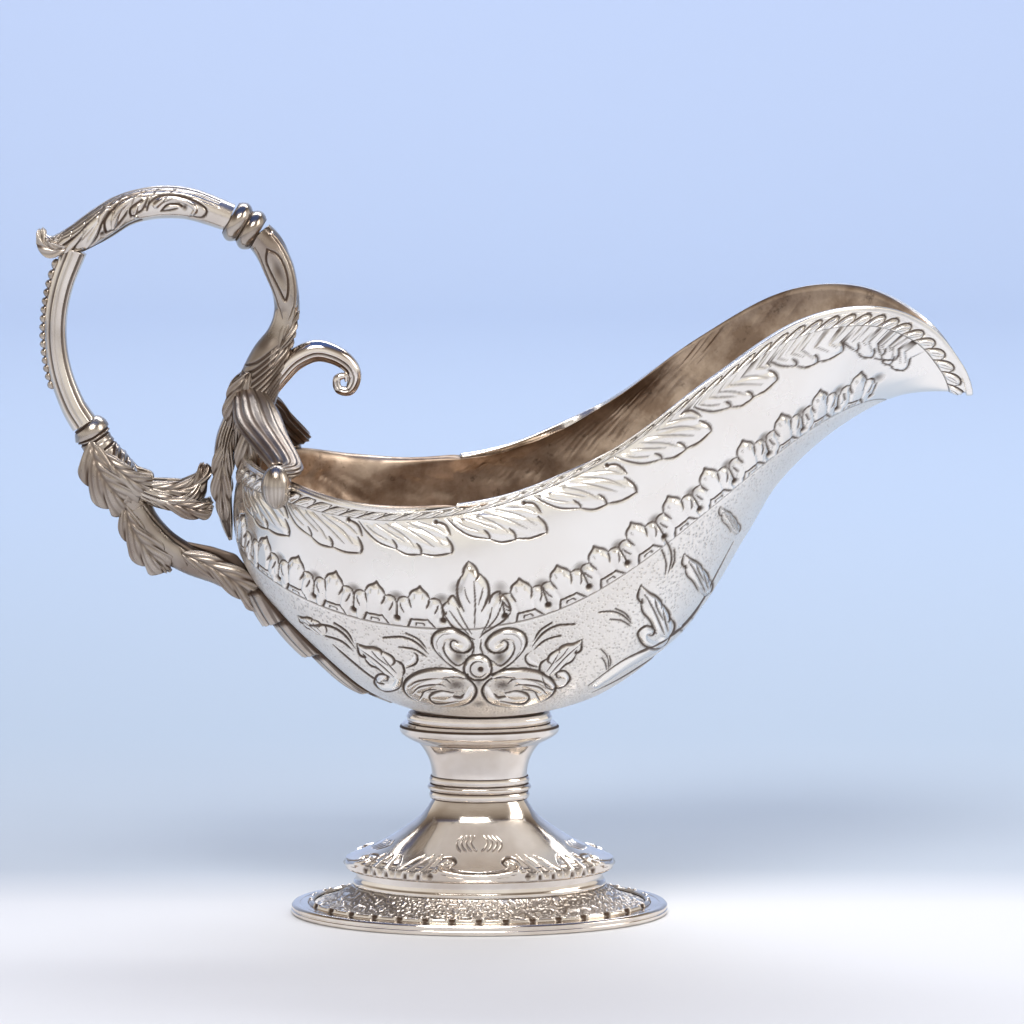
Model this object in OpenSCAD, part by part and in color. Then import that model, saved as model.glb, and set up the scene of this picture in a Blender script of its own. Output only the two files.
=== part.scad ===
// Footed oval sauce boat of chased sheet silver with a cast leaf and scroll handle.
// Z is up, the spout points along +X and the foot stands on Z = 0. Millimetres throughout.

/* [Foot] */
// Length of the oval foot along the boat
foot_length = 98; // [86:1:114]
// Width of the oval foot across the boat
foot_width = 60; // [52:1:72]
// Height of the flat edge band that the foot stands on
edge_height = 2.6; // [1.8:0.1:4]
// Thickness of the sheet that the foot is raised from
foot_wall = 1; // [0.7:0.1:1.6]

/* [Stem] */
// Height of the whole foot and stem, up to the underside of the bowl
stem_height = 53.5; // [46:0.5:64]
// Diameter of the stem at the three-ring knop, along the boat
knop_d = 27; // [24:0.5:32]
// Diameter of the wide ring under the bowl, along the boat
top_ring_d = 41.4; // [37:0.2:46]

/* [Bowl] */
// Length of the bowl from the back of the rim to the tip of the spout
bowl_length = 187; // [160:1:222]
// Width of the bowl at the rim, over the middle
bowl_width = 96; // [80:1:112]
// Height of the bowl from the stem to the highest point of the rim
bowl_height = 107.5; // [92:0.5:126]
// Thickness of the bowl's sheet
bowl_wall = 1; // [0.8:0.1:1.6]
// Width of the applied leaf border below the rim, as a share of the bowl's side
border_share = 0.06; // [0.04:0.01:0.08]
// Thickness of the applied leaf border
border_rise = 0.9; // [0.5:0.1:1.5]

/* [Handle] */
// Diameter of the plain back tube of the handle
tube_d = 6.2; // [5.2:0.1:7.4]
// How far the handle's loop reaches behind the bowl
handle_reach = 53; // [44:1:62]
// Height of the handle's loop above the back of the rim
handle_rise = 69; // [58:1:82]
// Diameter of the double ring collar at the top of the handle
collar_d = 11; // [9.6:0.2:12.4]
// Number of beads on the ridge along the back tube
bead_count = 15; // [11:1:19]

/* [Leaves] */
// Thickness of the cast leaves that lie on the handle
leaf_t = 1.6; // [1.2:0.1:2.2]
// Diameter of the rolled bulb on each leaf that laps over the rim
bulb_d = 7.6; // [6:0.2:9]

/* [Hidden] */
$fn = 192;
// Facets round the thin or slanted rings, which carry many of them
ring_facets = 72;
silver = [0.87, 0.86, 0.84];
bright = [0.93, 0.92, 0.90];
dull = [0.66, 0.63, 0.59];

// ---- small tools -------------------------------------------------------------------------

function mix(a, b, t) = a + (b - a) * t;
function cubic(a, b, c, d, t) =
  0.5 * (2 * b + (c - a) * t + (2 * a - 5 * b + 4 * c - d) * t * t + (3 * b - a - 3 * c + d) * t * t * t);
// Smooth curve through the points p, read at s from 0 to 1
function along(p, s) =
  let (n = len(p) - 1, q = min(max(s, 0) * n, n - 0.000001), i = floor(q))
  cubic(p[max(i - 1, 0)], p[i], p[i + 1], p[min(i + 2, n)], q - i);
// The same for a curve that is mirrored at both ends
function even(p, s) =
  let (n = len(p) - 1, q = min(max(s, 0) * n, n - 0.000001), i = floor(q))
  cubic(p[abs(i - 1)], p[i], p[i + 1], p[i + 2 > n ? n - 1 : i + 2], q - i);
function unit(v) = v / norm(v);
function row(a, i, j, m) = a * m + (i + j) % m;

// Closed skin over a list of rings that all have the same number of points, ends capped
module skin(rings) {
  m = len(rings[0]);
  n = len(rings);
  first = [for (j = [0:m - 1]) j];
  last = [for (j = [0:m - 1]) (n - 1) * m + m - 1 - j];
  sides = [
    for (a = [0:n - 2]) for (j = [0:m - 1])
      each [
        [row(a, j, 0, m), row(a + 1, j, 0, m), row(a, j, 1, m)],
        [row(a, j, 1, m), row(a + 1, j, 0, m), row(a + 1, j, 1, m)]
      ]
  ];
  polyhedron(points = [for (r = rings) each r], faces = concat([first, last], sides));
}

// Closed skin over rings that come back to the first one
module loop_skin(rings) {
  m = len(rings[0]);
  n = len(rings);
  faces = [
    for (a = [0:n - 1]) for (j = [0:m - 1])
      let (b = (a + 1) % n)
      each [
        [row(a, j, 0, m), row(b, j, 0, m), row(b, j, 1, m)],
        [row(a, j, 0, m), row(b, j, 1, m), row(a, j, 1, m)]
      ]
  ];
  polyhedron(points = [for (r = rings) each r], faces = faces);
}

// ---- foot and stem: one oval turned section after another --------------------------------

oval = foot_width / foot_length;
foot_r = foot_length / 2;
rise = stem_height / 53.5;
margin_r = foot_r - 2.2;
line_r = foot_r - 5;
dome_top_r = foot_r * 0.67;
dome_top_z = 7.4 * rise;
collar_top_z = 11.6 * rise;
bell_edge_r = foot_r * 0.71;
bell_edge_z = 14.6 * rise;
bell_top_z = 30.2 * rise;
bell_top_r = knop_d / 2 - 1.4;
knop_top_z = 36.2 * rise;
spool_top_z = 44.8 * rise;
top_ring_r = top_ring_d / 2;
ring_split_z = 50.2 * rise;
seat_r = top_ring_r - 1.8;

module oval_turn() {
  place() scale([1, oval, 1]) rotate_extrude() children();
}

module foot_edge_band() {
  under = 2;
  color(bright) difference() {
    oval_turn()
      polygon([
        [margin_r, -under / 2], [foot_r - 0.3 - under / 2, -under / 2], [foot_r, 0.3],
        [foot_r, edge_height - 0.5], [foot_r - 0.5, edge_height], [margin_r, edge_height]
      ]);
    place() translate([0, 0, -under / 2])
      cube([foot_length + under, foot_width + under, under], center = true);
  }
}

module foot_flange() {
  color(silver) oval_turn()
    polygon([
      [line_r - 0.9, edge_height - foot_wall], [margin_r, edge_height - foot_wall],
      [margin_r, edge_height - 0.2], [line_r + 0.6, edge_height], [line_r - 0.9, edge_height]
    ]);
}

module foot_bead_line() {
  color(dull) oval_turn($fn = ring_facets)
    polygon([
      [line_r - 0.9, edge_height], [line_r + 0.6, edge_height],
      [line_r + 0.5, edge_height + 0.5], [line_r, edge_height + 0.8], [line_r - 0.9, edge_height + 0.6]
    ]);
}

// Outline of the flared dome, from the flange in to the collar
function dome_line(t) = [
  mix(line_r - 0.9, dome_top_r, t),
  edge_height + (dome_top_z - edge_height) * (0.35 * t + 0.65 * t * t)
];

module foot_dome() {
  n = 7;
  color(dull) oval_turn($fn = ring_facets)
    polygon(concat(
      [for (i = [0:n]) dome_line(i / n)],
      [for (i = [n:-1:0]) dome_line(i / n) - [0, foot_wall]]
    ));
}

module foot_collar() {
  color(bright) oval_turn()
    polygon([
      [dome_top_r - 2.6, dome_top_z], [dome_top_r, dome_top_z], [dome_top_r, dome_top_z + 1],
      [dome_top_r - 0.5, dome_top_z + 1.5], [dome_top_r - 0.7, collar_top_z],
      [dome_top_r - 2.6, collar_top_z]
    ]);
}

// Outline of the bell from its lip up to the knop, as shares of the way in and up
bell_shares = [[0, 0], [0.22, 0.13], [0.44, 0.29], [0.7, 0.53], [0.88, 0.74], [1, 1]];
function bell_line(t) = let (p = along(bell_shares, t)) [
  mix(bell_edge_r, bell_top_r, p[0]), mix(bell_edge_z, bell_top_z, p[1])
];

module foot_bell() {
  n = 14;
  color(silver) oval_turn()
    polygon(concat(
      [[bell_edge_r - 1, collar_top_z], [bell_edge_r, collar_top_z + 0.5]],
      [for (i = [0:n]) bell_line(i / n)],
      [for (i = [n:-1:1]) bell_line(i / n) - [foot_wall, i == n ? 0 : foot_wall]],
      [[dome_top_r - 2.6, collar_top_z]]
    ));
}

module stem_knop() {
  r = knop_d / 2;
  h = (knop_top_z - bell_top_z) / 3;
  n = 6;
  color(bright) oval_turn()
    polygon(concat(
      [[bell_top_r - foot_wall, bell_top_z]],
      [for (k = [0:2]) for (i = [k == 0 ? 0 : 1:n])
        [r - 0.9 + (k == 1 ? 0.9 : 0.5) * sin(180 * i / n), bell_top_z + (k + i / n) * h]],
      [[bell_top_r - foot_wall, knop_top_z]]
    ));
}

// Outline of the spool, from the knop out to the wide ring
function spool_line(t) = [
  mix(knop_d / 2 - 1.1, top_ring_r * 0.76, pow(t, 2.2)),
  mix(knop_top_z, spool_top_z, t)
];

module stem_spool() {
  n = 10;
  color(bright) oval_turn()
    polygon(concat(
      [for (i = [0:n]) spool_line(i / n)],
      [for (i = [n:-1:0]) spool_line(i / n) - [foot_wall, 0]]
    ));
}

module stem_top_ring() {
  n = 10;
  h = ring_split_z - spool_top_z;
  inner_r = top_ring_r * 0.76 - foot_wall;
  color(silver) oval_turn($fn = ring_facets)
    polygon(concat(
      [[inner_r, spool_top_z], [top_ring_r * 0.76, spool_top_z]],
      [for (i = [1:n]) [
        top_ring_r * 0.76 + (top_ring_r * 0.24) * sin(min(1, i / n * 1.5) * 90) - (i > 8 ? 0.4 * (i - 8) : 0),
        spool_top_z + h * i / n]],
      [[inner_r, ring_split_z]]
    ));
}

module bowl_seat_ring() {
  n = 8;
  h = stem_height - ring_split_z;
  color(silver) oval_turn()
    polygon(concat(
      [[base_a - 3, ring_split_z]],
      [for (i = [0:n]) [seat_r - 0.6 + 0.6 * sin(180 * i / n), ring_split_z + h * 0.8 * i / n]],
      [[base_a - 0.4, ring_split_z + h * 0.86], [base_a - 0.4, stem_height], [base_a - 3, stem_height]]
    ));
}

// ---- bowl --------------------------------------------------------------------------------
// Point on the bowl for the angle u round it (0 at the spout, 180 at the back) and the share v
// of the way up from the base ring (0) to the rim (1).

base_a = 17;
base_b = base_a * oval;
long = bowl_length / 187;
back_x = -60 * long;
tip_x = 127 * long;
up = bowl_height / 107.5;
wide = bowl_width / 96;

// Half width of the rim over sin(u) and height of the rim above the stem, every 15 degrees of u
rim_w = [12, 12.8, 21.5, 34, 40.7, 46.3, 48, 49, 53, 62, 66, 68, 68.5];
rim_z = [82.8, 90.3, 101.3, 107.7, 105.2, 91.7, 74.3, 62.7, 58.8, 59.9, 63.5, 65.8, 67];
// The bowl's lines in nine steps from the base ring to the rim: x and height above the stem of
// the line under the spout and of the back line, half width and height of the side line
spout_x = [17, 33, 47.3, 58.4, 68.8, 78.4, 92.2, 108.5, 127];
spout_z = [0, 5.8, 16.3, 28.6, 46, 61.4, 73.6, 82, 82.8];
back_xs = [-17, -31, -43, -51.4, -57.4, -61.7, -63.4, -62.8, -60];
back_zs = [0, 7.1, 17.8, 26.1, 33, 41, 49.5, 58.5, 67];
side_w = [12, 25.5, 35.5, 42, 46.3, 49.3, 50.3, 49.8, 48];
side_z = [0, 2.6, 8.2, 16.3, 27.5, 39.4, 52, 63.9, 74.3];

function mirrored(u) = let (a = (u + 360) % 360) a > 180 ? 360 - a : a;
function sized(p, v, base, scale) = along(p, v) * scale + (base - p[0] * scale) * pow(1 - v, 3);
function line_z(u, v) =
  let (c = cos(u), s = along(side_z, v))
  s + (along(c > 0 ? spout_z : back_zs, v) - s) * c * c;
function bowl_at(u, v) =
  let (
    m = mirrored(u) / 180, p = max(0, 2 * v - 1),
    x0 = sized(back_xs, v, -base_a, long), x1 = sized(spout_x, v, base_a, long),
    w = sized(side_w, v, base_b, wide) * (1 + pow(p, 3) * (even(rim_w, m) / side_w[8] - 1)),
    z = line_z(u, v) + pow(p, 2) * (even(rim_z, m) - line_z(u, 1))
  )
  [mix(x0, x1, (1 + cos(u)) / 2), w * sin(u), stem_height + up * z];
function rim_at(u) = bowl_at(u, 1);
function bowl_normal(u, v) =
  let (w = max(v, 0.02), h = 0.01,
    du = bowl_at(u + 0.5, w) - bowl_at(u - 0.5, w),
    dv = bowl_at(u, min(1, w + h)) - bowl_at(u, w - h))
  unit(cross(du, dv));
// The same point moved out (or in, if below 0) from the surface by d
function bowl_off(u, v, d) = bowl_at(u, v) + d * bowl_normal(u, v);

around = 80;
upward = 20;

module bowl() {
  us = [for (i = [0:around - 1]) 360 * i / around];
  vs = concat([for (k = [0:upward - 1]) k / (upward - 1) * (1 - border_share)], [1]);
  outer = [for (v = vs) [for (u = us) bowl_at(u, v)]];
  inner = [for (k = [upward:-1:0]) [for (u = us)
    k == 0 ? bowl_at(u, 0) + [0, 0, bowl_wall] : bowl_off(u, vs[k], -bowl_wall)]];
  color(silver) place() skin(concat(outer, inner));
}

// The band of leaf border that lies on the outside of the bowl, just under the rim
module rim_border() {
  us = [for (i = [0:around - 1]) 360 * i / around];
  v0 = 1 - border_share;
  mid = (1 + v0) / 2;
  color(bright) place() loop_skin([
    [for (u = us) bowl_at(u, v0)],
    [for (u = us) bowl_off(u, v0, border_rise * 0.6)],
    [for (u = us) bowl_off(u, mid, border_rise)],
    [for (u = us) bowl_off(u, 1, border_rise)],
    [for (u = us) bowl_at(u, 1)]
  ]);
}

// ---- handle ------------------------------------------------------------------------------
// Lines are [x, z, r] points in the middle plane. x and z are measured from the back of the
// rim, so the handle keeps its place on the bowl when the bowl's size changes.

sides = 16;
reach = handle_reach / 53;
lift = handle_rise / 69;
back_z = stem_height + up * 67;

function hx(x) = back_x + (x < 0 ? x * reach : x);
function hz(z) = back_z + (z > 0 ? z * lift : z * up);
function spot(p) = [hx(p[0]), 0, hz(p[1])];
function path(p, n) = [for (i = [0:n]) along(p, i / n)];
function heading(q, i) = unit(spot(q[min(i + 1, len(q) - 1)]) - spot(q[max(i - 1, 0)]));

// Oval rings round a line; flat is the share of the radius across the boat
function rings_on(q, flat) = [
  for (i = [0:len(q) - 1])
    let (t = heading(q, i), n = [t.z, 0, -t.x], r = q[i][2])
    [for (j = [0:sides - 1]) let (a = 360 * j / sides)
      spot(q[i]) + r * cos(a) * n + [0, r * flat * sin(a), 0]]
];

module rod(p, n, flat = 1) {
  place() skin(rings_on(path(p, n), flat));
}

tube_r = tube_d / 2;
back_line = [
  [-43.6, 52.6, tube_r + 0.3], [-46.9, 44, tube_r + 0.1], [-48.6, 35.8, tube_r], [-48.7, 27.8, tube_r],
  [-47.4, 20.2, tube_r + 0.1], [-44.6, 12.6, tube_r + 0.3], [-41.6, 7.6, tube_r + 0.6]
];

module back_tube_solid() {
  rod(back_line, 36);
}

module back_tube() {
  color(bright) difference() {
    back_tube_solid();
    top_scroll();
    lower_sheath();
  }
}

// Ridge of beads along the outside of the back tube, over its upper half
module bead_ridge() {
  q = path(back_line, 36);
  steps = bead_count * 4;
  s0 = 0.08;
  s1 = 0.72;
  color(silver) place() skin([
    for (k = [0:steps])
      let (s = mix(s0, s1, k / steps), p = along(back_line, s), i = round(s * 36),
        t = heading(q, i), n = [t.z, 0, -t.x], h = 0.9 + 0.5 * abs(sin(180 * k / 4)))
      [for (j = [0:7]) let (a = 180 * j / 7 - 90)
        spot(p) + (p[2] + h * cos(a)) * n + [0, 1.4 * sin(a), 0]]
  ]);
}

top_line = [
  [-52.3, 57.7, 0.9], [-50.6, 54.9, 2], [-47.2, 54.3, 3.2], [-42.4, 55.8, 4.3], [-36.6, 59.4, 4.8],
  [-30.6, 62.9, 4.7], [-24.4, 64.5, 4.7], [-18.4, 64.9, 4.7], [-12.4, 64, 4.5], [-3.6, 60.8, 4.1]
];

module top_scroll() {
  color(silver) rod(top_line, 36);
}

collar_at = [-3.6, 60.8];
collar_end = [3.4, 56.6];

module ring_collar() {
  a = spot(collar_at);
  b = spot(collar_end);
  h = norm(b - a);
  r = collar_d / 2;
  n = 8;
  color(bright) place() translate(a)
    rotate([0, 90 - asin((b.z - a.z) / h), 0])
      rotate_extrude()
        polygon(concat(
          [[0, 0]],
          [for (k = [0:1]) for (i = [k:n]) [r - 1.2 + 1.2 * sin(180 * i / n), h * (k + i / n) / 2]],
          [[0, h]]
        ));
}

stem_line = [
  [3.4, 56.6, 3.9], [6.2, 53.2, 4.1], [8.8, 47.4, 3.8], [10.4, 41.5, 3.4], [10.6, 36, 3.3],
  [9.2, 30.6, 3.8], [6.4, 25, 5], [3.9, 19, 5.5], [1.8, 13, 5.5], [0, 6.6, 5], [-1.4, 0.4, 3.2]
];

module leaf_stem() {
  color(silver) rod(stem_line, 36, 0.95);
}

thumb_line = [
  [9.6, 20.6, 2.8], [12.8, 24.2, 3], [17.8, 26.5, 3.1], [22.6, 25.6, 2.8], [26.5, 23, 2.4],
  [28, 19.7, 2], [26.7, 16.5, 1.7], [24, 16.7, 1.5], [23.8, 19.2, 1.3], [25.8, 19.6, 1.1]
];

module thumb_scroll_solid() {
  rod(thumb_line, 36);
}

module thumb_scroll() {
  color(bright) difference() {
    thumb_scroll_solid();
    leaf_stem();
  }
}

// A leaf that comes off the stem, laps over the rim and ends in a rolled bulb outside the bowl.
// side is -1 for the near side and 1 for the far side.
module rim_leaf(side) {
  u = 180 - side * 28;
  r = rim_at(u);
  out = unit([r.x - hx(30), r.y, 0]);
  bulb = bulb_d / 2;
  line = [
    [hx(1), side * 3, hz(16)], [hx(2.6), side * 9, hz(13)], [hx(5), side * 18, hz(8.5)],
    r + [0, 0, 3.2] - out, r + out * (bulb + border_rise) + [0, 0, 0.4],
    bowl_off(u, 0.9, 3), bowl_off(u, 0.85, 1.2)
  ];
  size = [[3, 2.2], [4.2, 2.4], [4.4, 2.2], [4, 2.2], [bulb, bulb - 0.4], [2.4, 1.6], [0.6, 0.5]];
  n = 24;
  place() skin([
    for (k = [0:n])
      let (
        t = k / n, c = along(line, t), w = along(size, t),
        d = unit(along(line, min(1, t + 0.02)) - along(line, max(0, t - 0.02))),
        e = unit([out.y, -out.x, 0] * side - ([out.y, -out.x, 0] * side * d) * d), o = cross(d, e)
      )
      [for (j = [0:sides - 1]) let (a = 360 * j / sides) c + w[0] * cos(a) * e + w[1] * sin(a) * o]
  ]);
}

module rim_leaf_near() {
  color(silver) difference() {
    rim_leaf(-1);
    leaf_stem();
  }
}

module rim_leaf_far() {
  color(silver) difference() {
    rim_leaf(1);
    leaf_stem();
  }
}

back_leaf_line = [
  [-2.6, 11, 2.4], [-5, 4, 2.8], [-6, -3.5, 2.6], [-5.9, -11.5, 2.3], [-5.1, -18, 1.7], [-4.2, -22.6, 0.6]
];

module back_leaf_solid() {
  rod(back_leaf_line, 20, 1.7);
}

module back_leaf() {
  color(silver) difference() {
    back_leaf_solid();
    leaf_stem();
  }
}

sheath_line = [
  [-41.6, 7.6, 4.2], [-39.9, 5.6, 5.1], [-38.4, 2.8, 4.6], [-36.6, -0.2, 4.8], [-34.7, -3.2, 5.6],
  [-32.6, -7, 5.5], [-30.6, -11, 5], [-28.8, -14.4, 4.5]
];

module lower_sheath() {
  color(silver) rod(sheath_line, 24);
}

spur_line = [
  [-28.8, -8.6, 3.2], [-25.2, -10.4, 3.1], [-20.5, -11.9, 3.1], [-16.2, -11.8, 3.3],
  [-12.8, -9.6, 3], [-11.2, -5.6, 1.6], [-11.4, -3.4, 0.7]
];

module spur_leaf_solid() {
  rod(spur_line, 20, 1.5);
}

module spur_leaf() {
  color(silver) difference() {
    spur_leaf_solid();
    lower_sheath();
    lower_branch();
  }
}

outer_line = [
  [-32.6, -14, 1.6], [-29.6, -19.4, 2.2], [-26, -24.4, 2.5], [-22.6, -28.2, 2.1], [-19.6, -30.8, 0.7]
];

module outer_leaf_solid() {
  rod(outer_line, 18, 1.8);
}

module outer_leaf() {
  color(silver) difference() {
    outer_leaf_solid();
    lower_sheath();
    lower_branch();
  }
}

branch_line = [
  [-28.8, -14.4, 4.4], [-25.6, -19.4, 4.2], [-21, -24, 4], [-14.6, -27.8, 3.9], [-7, -30.8, 3.7],
  [0.4, -35.4, 3.1]
];

module lower_branch() {
  color(silver) difference() {
    rod(branch_line, 20);
    lower_sheath();
  }
}

// Thin plate that fills the angle between the branch and the bowl
module branch_web() {
  color(dull) difference() {
    place() translate([0, leaf_t / 2, 0]) rotate([90, 0, 0])
      linear_extrude(leaf_t)
        polygon([
          [hx(-17), hz(-22.8)], [hx(-9), hz(-26.4)], [hx(1.4), hz(-31.6)], [hx(-2.8), hz(-26.4)],
          [hx(-9), hz(-24.4)]
        ]);
    lower_branch();
  }
}

// Overlapping leaves that lie on the back line of the bowl, down from the branch
module tail_leaf() {
  n = 16;
  m = 6;
  v0 = 0.5;
  v1 = 0.06;
  step = 360 / around;
  height = [5, 5.2, 4.4, 3, 1.6, 0.5];
  color(silver) difference() {
    place() skin([
      for (k = [0:n])
        let (t = k / n, v = mix(v0, v1, t), h = along(height, t) * (1 - 0.16 * abs(cos(540 * t))))
        concat(
          [for (j = [-m:m]) bowl_off(180 + j * step * 0.55, v, 0.05)],
          [for (j = [m:-1:-m])
            bowl_off(180 + j * step * 0.55, v, 0.05 + h * (1 - pow(j / m, 2) * 0.85))]
        )
    ]);
    lower_branch();
  }
}

// ---- whole part --------------------------------------------------------------------------

tail_x = hx(top_line[0][0]) - 1.9;
mid_x = (tip_x + border_rise + tail_x) / 2;

// Moves a piece from the foot's middle to the middle of the whole length
module place() {
  translate([-mid_x, 0, 0]) children();
}

foot_edge_band();
foot_flange();
foot_bead_line();
foot_dome();
foot_collar();
foot_bell();
stem_knop();
stem_spool();
stem_top_ring();
bowl_seat_ring();
bowl();
rim_border();
back_tube();
bead_ridge();
top_scroll();
ring_collar();
leaf_stem();
thumb_scroll();
rim_leaf_near();
rim_leaf_far();
back_leaf();
lower_sheath();
spur_leaf();
outer_leaf();
lower_branch();
branch_web();
tail_leaf();
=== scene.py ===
import math

import bpy
import numpy as np
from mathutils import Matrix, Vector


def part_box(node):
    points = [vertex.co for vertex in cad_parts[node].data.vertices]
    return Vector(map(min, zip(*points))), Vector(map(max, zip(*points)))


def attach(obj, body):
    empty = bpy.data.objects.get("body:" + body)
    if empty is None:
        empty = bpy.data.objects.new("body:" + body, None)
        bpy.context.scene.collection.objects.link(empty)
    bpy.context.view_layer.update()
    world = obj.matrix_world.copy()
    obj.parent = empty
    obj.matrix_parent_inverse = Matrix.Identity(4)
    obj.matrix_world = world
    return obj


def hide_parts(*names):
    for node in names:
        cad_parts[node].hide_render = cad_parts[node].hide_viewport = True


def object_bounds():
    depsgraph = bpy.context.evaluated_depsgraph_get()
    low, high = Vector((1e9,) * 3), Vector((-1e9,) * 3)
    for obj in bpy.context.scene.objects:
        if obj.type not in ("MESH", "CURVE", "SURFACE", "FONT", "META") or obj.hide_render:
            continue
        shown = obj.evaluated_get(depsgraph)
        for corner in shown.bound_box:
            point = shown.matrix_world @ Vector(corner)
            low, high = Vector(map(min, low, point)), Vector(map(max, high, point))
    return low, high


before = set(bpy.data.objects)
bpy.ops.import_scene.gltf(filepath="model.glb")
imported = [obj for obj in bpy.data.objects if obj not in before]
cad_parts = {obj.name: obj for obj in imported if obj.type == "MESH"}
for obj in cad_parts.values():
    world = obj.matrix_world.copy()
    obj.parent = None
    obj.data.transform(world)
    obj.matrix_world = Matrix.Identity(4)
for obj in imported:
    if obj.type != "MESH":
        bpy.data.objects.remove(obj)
CAD_BOX = [list(c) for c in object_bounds()]
MM = 0.001


# ---- places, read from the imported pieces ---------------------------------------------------

def span(node):
    """Lowest and highest corner of a CAD piece in millimetres."""
    lo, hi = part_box(node)
    return np.array(lo) / MM, np.array(hi) / MM


FOOT_LO, FOOT_HI = span("foot_edge_band")
BOWL_LO, BOWL_HI = span("bowl")
FOOT_X = (FOOT_LO[0] + FOOT_HI[0]) / 2
FOOT_R = (FOOT_HI[0] - FOOT_LO[0]) / 2
OVAL = (FOOT_HI[1] - FOOT_LO[1]) / (FOOT_HI[0] - FOOT_LO[0])
STEM_Z = BOWL_LO[2]
WALL = 1.0          # thickness of the bowl's sheet, mm
BORDER = 0.06       # share of the bowl's height that the applied border covers
BORDER_RISE = 0.9   # most that the border stands off the bowl, mm
STRIP = 6.2         # depth of the border below the rim, mm
FINE = 0.86         # share of its drawn width at which each engraved line is cut


# ---- curves --------------------------------------------------------------------------------

def cubic(a, b, c, d, t):
    return 0.5 * (2 * b + (c - a) * t + (2 * a - 5 * b + 4 * c - d) * t**2
                  + (3 * b - a - 3 * c + d) * t**3)


def at_share(p, s):
    n = len(p) - 1
    q = np.clip(np.asarray(s, float) * n, 0, n - 1e-6)
    i = np.floor(q).astype(int)
    t = q - i
    return n, i, (t[..., None] if p.ndim > 1 else t)


def along(p, s):
    """Smooth curve through the points p, read at shares s from 0 to 1."""
    p = np.asarray(p, float)
    n, i, t = at_share(p, s)
    return cubic(p[np.maximum(i - 1, 0)], p[i], p[i + 1], p[np.minimum(i + 2, n)], t)


def even(p, s):
    """The same for a curve that is mirrored at both ends."""
    p = np.asarray(p, float)
    n, i, t = at_share(p, s)
    return cubic(p[np.abs(i - 1)], p[i], p[i + 1], p[np.where(i + 2 > n, n - 1, i + 2)], t)


def curve(points, steps=6):
    return along(points, np.linspace(0, 1, (len(points) - 1) * steps + 1))


def smooth(x):
    x = np.clip(x, 0, 1)
    return x * x * (3 - 2 * x)


def unit(v):
    return v / (np.linalg.norm(v, axis=-1, keepdims=True) + 1e-12)


def length_along(p):
    return np.r_[0, np.cumsum(np.linalg.norm(np.diff(p, axis=0), axis=1))]


def noise(p, cell, seed):
    """Smooth noise from -1 to 1 at points p, with lumps about one cell wide."""
    q = np.asarray(p, float) / cell
    i = np.floor(q).astype(np.int64)
    f = smooth(q - i)
    total = np.zeros(q.shape[:-1])
    for corner in np.ndindex(*(2,) * q.shape[-1]):
        c = np.array(corner)
        k = i + c
        h = (k * np.array([374761393, 668265263, 1274126177])[: q.shape[-1]]).sum(-1) + seed * 982451653
        h = (h ^ (h >> 13)) * 1103515245
        h = ((h ^ (h >> 16)) & 0xFFFF) / 32767.5 - 1
        total += h * np.prod(np.where(c == 1, f, 1 - f), axis=-1)
    return total


# ---- the bowl's surface --------------------------------------------------------------------

BASE_A = 17.0
BASE_B = BASE_A * OVAL
RIM_W = [12, 12.8, 21.5, 34, 40.7, 46.3, 48, 49, 53, 62, 66, 68, 68.5]
RIM_Z = [82.8, 90.3, 101.3, 107.7, 105.2, 91.7, 74.3, 62.7, 58.8, 59.9, 63.5, 65.8, 67]
SPOUT_X = [17, 33, 47.3, 58.4, 68.8, 78.4, 92.2, 108.5, 127]
SPOUT_Z = [0, 5.8, 16.3, 28.6, 46, 61.4, 73.6, 82, 82.8]
BACK_X = [-17, -31, -43, -51.4, -57.4, -61.7, -63.4, -62.8, -60]
BACK_Z = [0, 7.1, 17.8, 26.1, 33, 41, 49.5, 58.5, 67]
SIDE_W = [12, 25.5, 35.5, 42, 46.3, 49.3, 50.3, 49.8, 48]
SIDE_Z = [0, 2.6, 8.2, 16.3, 27.5, 39.4, 52, 63.9, 74.3]
LONG = (BOWL_HI[0] - FOOT_X) / SPOUT_X[-1]
UP = (BOWL_HI[2] - BOWL_LO[2]) / even(RIM_Z, np.linspace(0, 1, 81)).max()


def sized(p, v, base, scale=1.0):
    """A line of the bowl, scaled, that still starts at its place on the seat."""
    return along(p, v) * scale + (base - p[0] * scale) * (1 - v) ** 3


def line_z(c, v):
    s = along(SIDE_Z, v)
    return s + (np.where(c > 0, along(SPOUT_Z, v), along(BACK_Z, v)) - s) * c * c


def bowl_at(u, v):
    """Point on the outside of the bowl, angle u round it and share v of the way up."""
    u, v = np.broadcast_arrays(np.asarray(u, float), np.asarray(v, float))
    c, s = np.cos(np.radians(u)), np.sin(np.radians(u))
    m = np.mod(u + 360, 360)
    m = np.where(m > 180, 360 - m, m) / 180
    p = np.maximum(0, 2 * v - 1)
    x0, x1 = sized(BACK_X, v, -BASE_A, LONG), sized(SPOUT_X, v, BASE_A, LONG)
    w = sized(SIDE_W, v, BASE_B) * (1 + p**3 * (even(RIM_W, m) / SIDE_W[8] - 1))
    z = line_z(c, v) + p**2 * (even(RIM_Z, m) - line_z(c, np.ones_like(v)))
    return np.stack([FOOT_X + x0 + (x1 - x0) * (1 + c) / 2, w * s, STEM_Z + UP * z], -1)


def bowl_normal(u, v):
    v = np.maximum(v, 0.02)
    du = bowl_at(u + 0.5, v) - bowl_at(u - 0.5, v)
    dv = bowl_at(u, np.minimum(1, v + 0.01)) - bowl_at(u, v - 0.01)
    return unit(np.cross(du, dv))


def grid_normals(p, closed):
    """Outward unit normals of a grid of points whose rows run round a closed loop."""
    if closed:
        du = np.roll(p, -1, 1) - np.roll(p, 1, 1)
    else:
        du = np.gradient(p, axis=1)
    return unit(np.cross(du, np.gradient(p, axis=0)))


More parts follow.
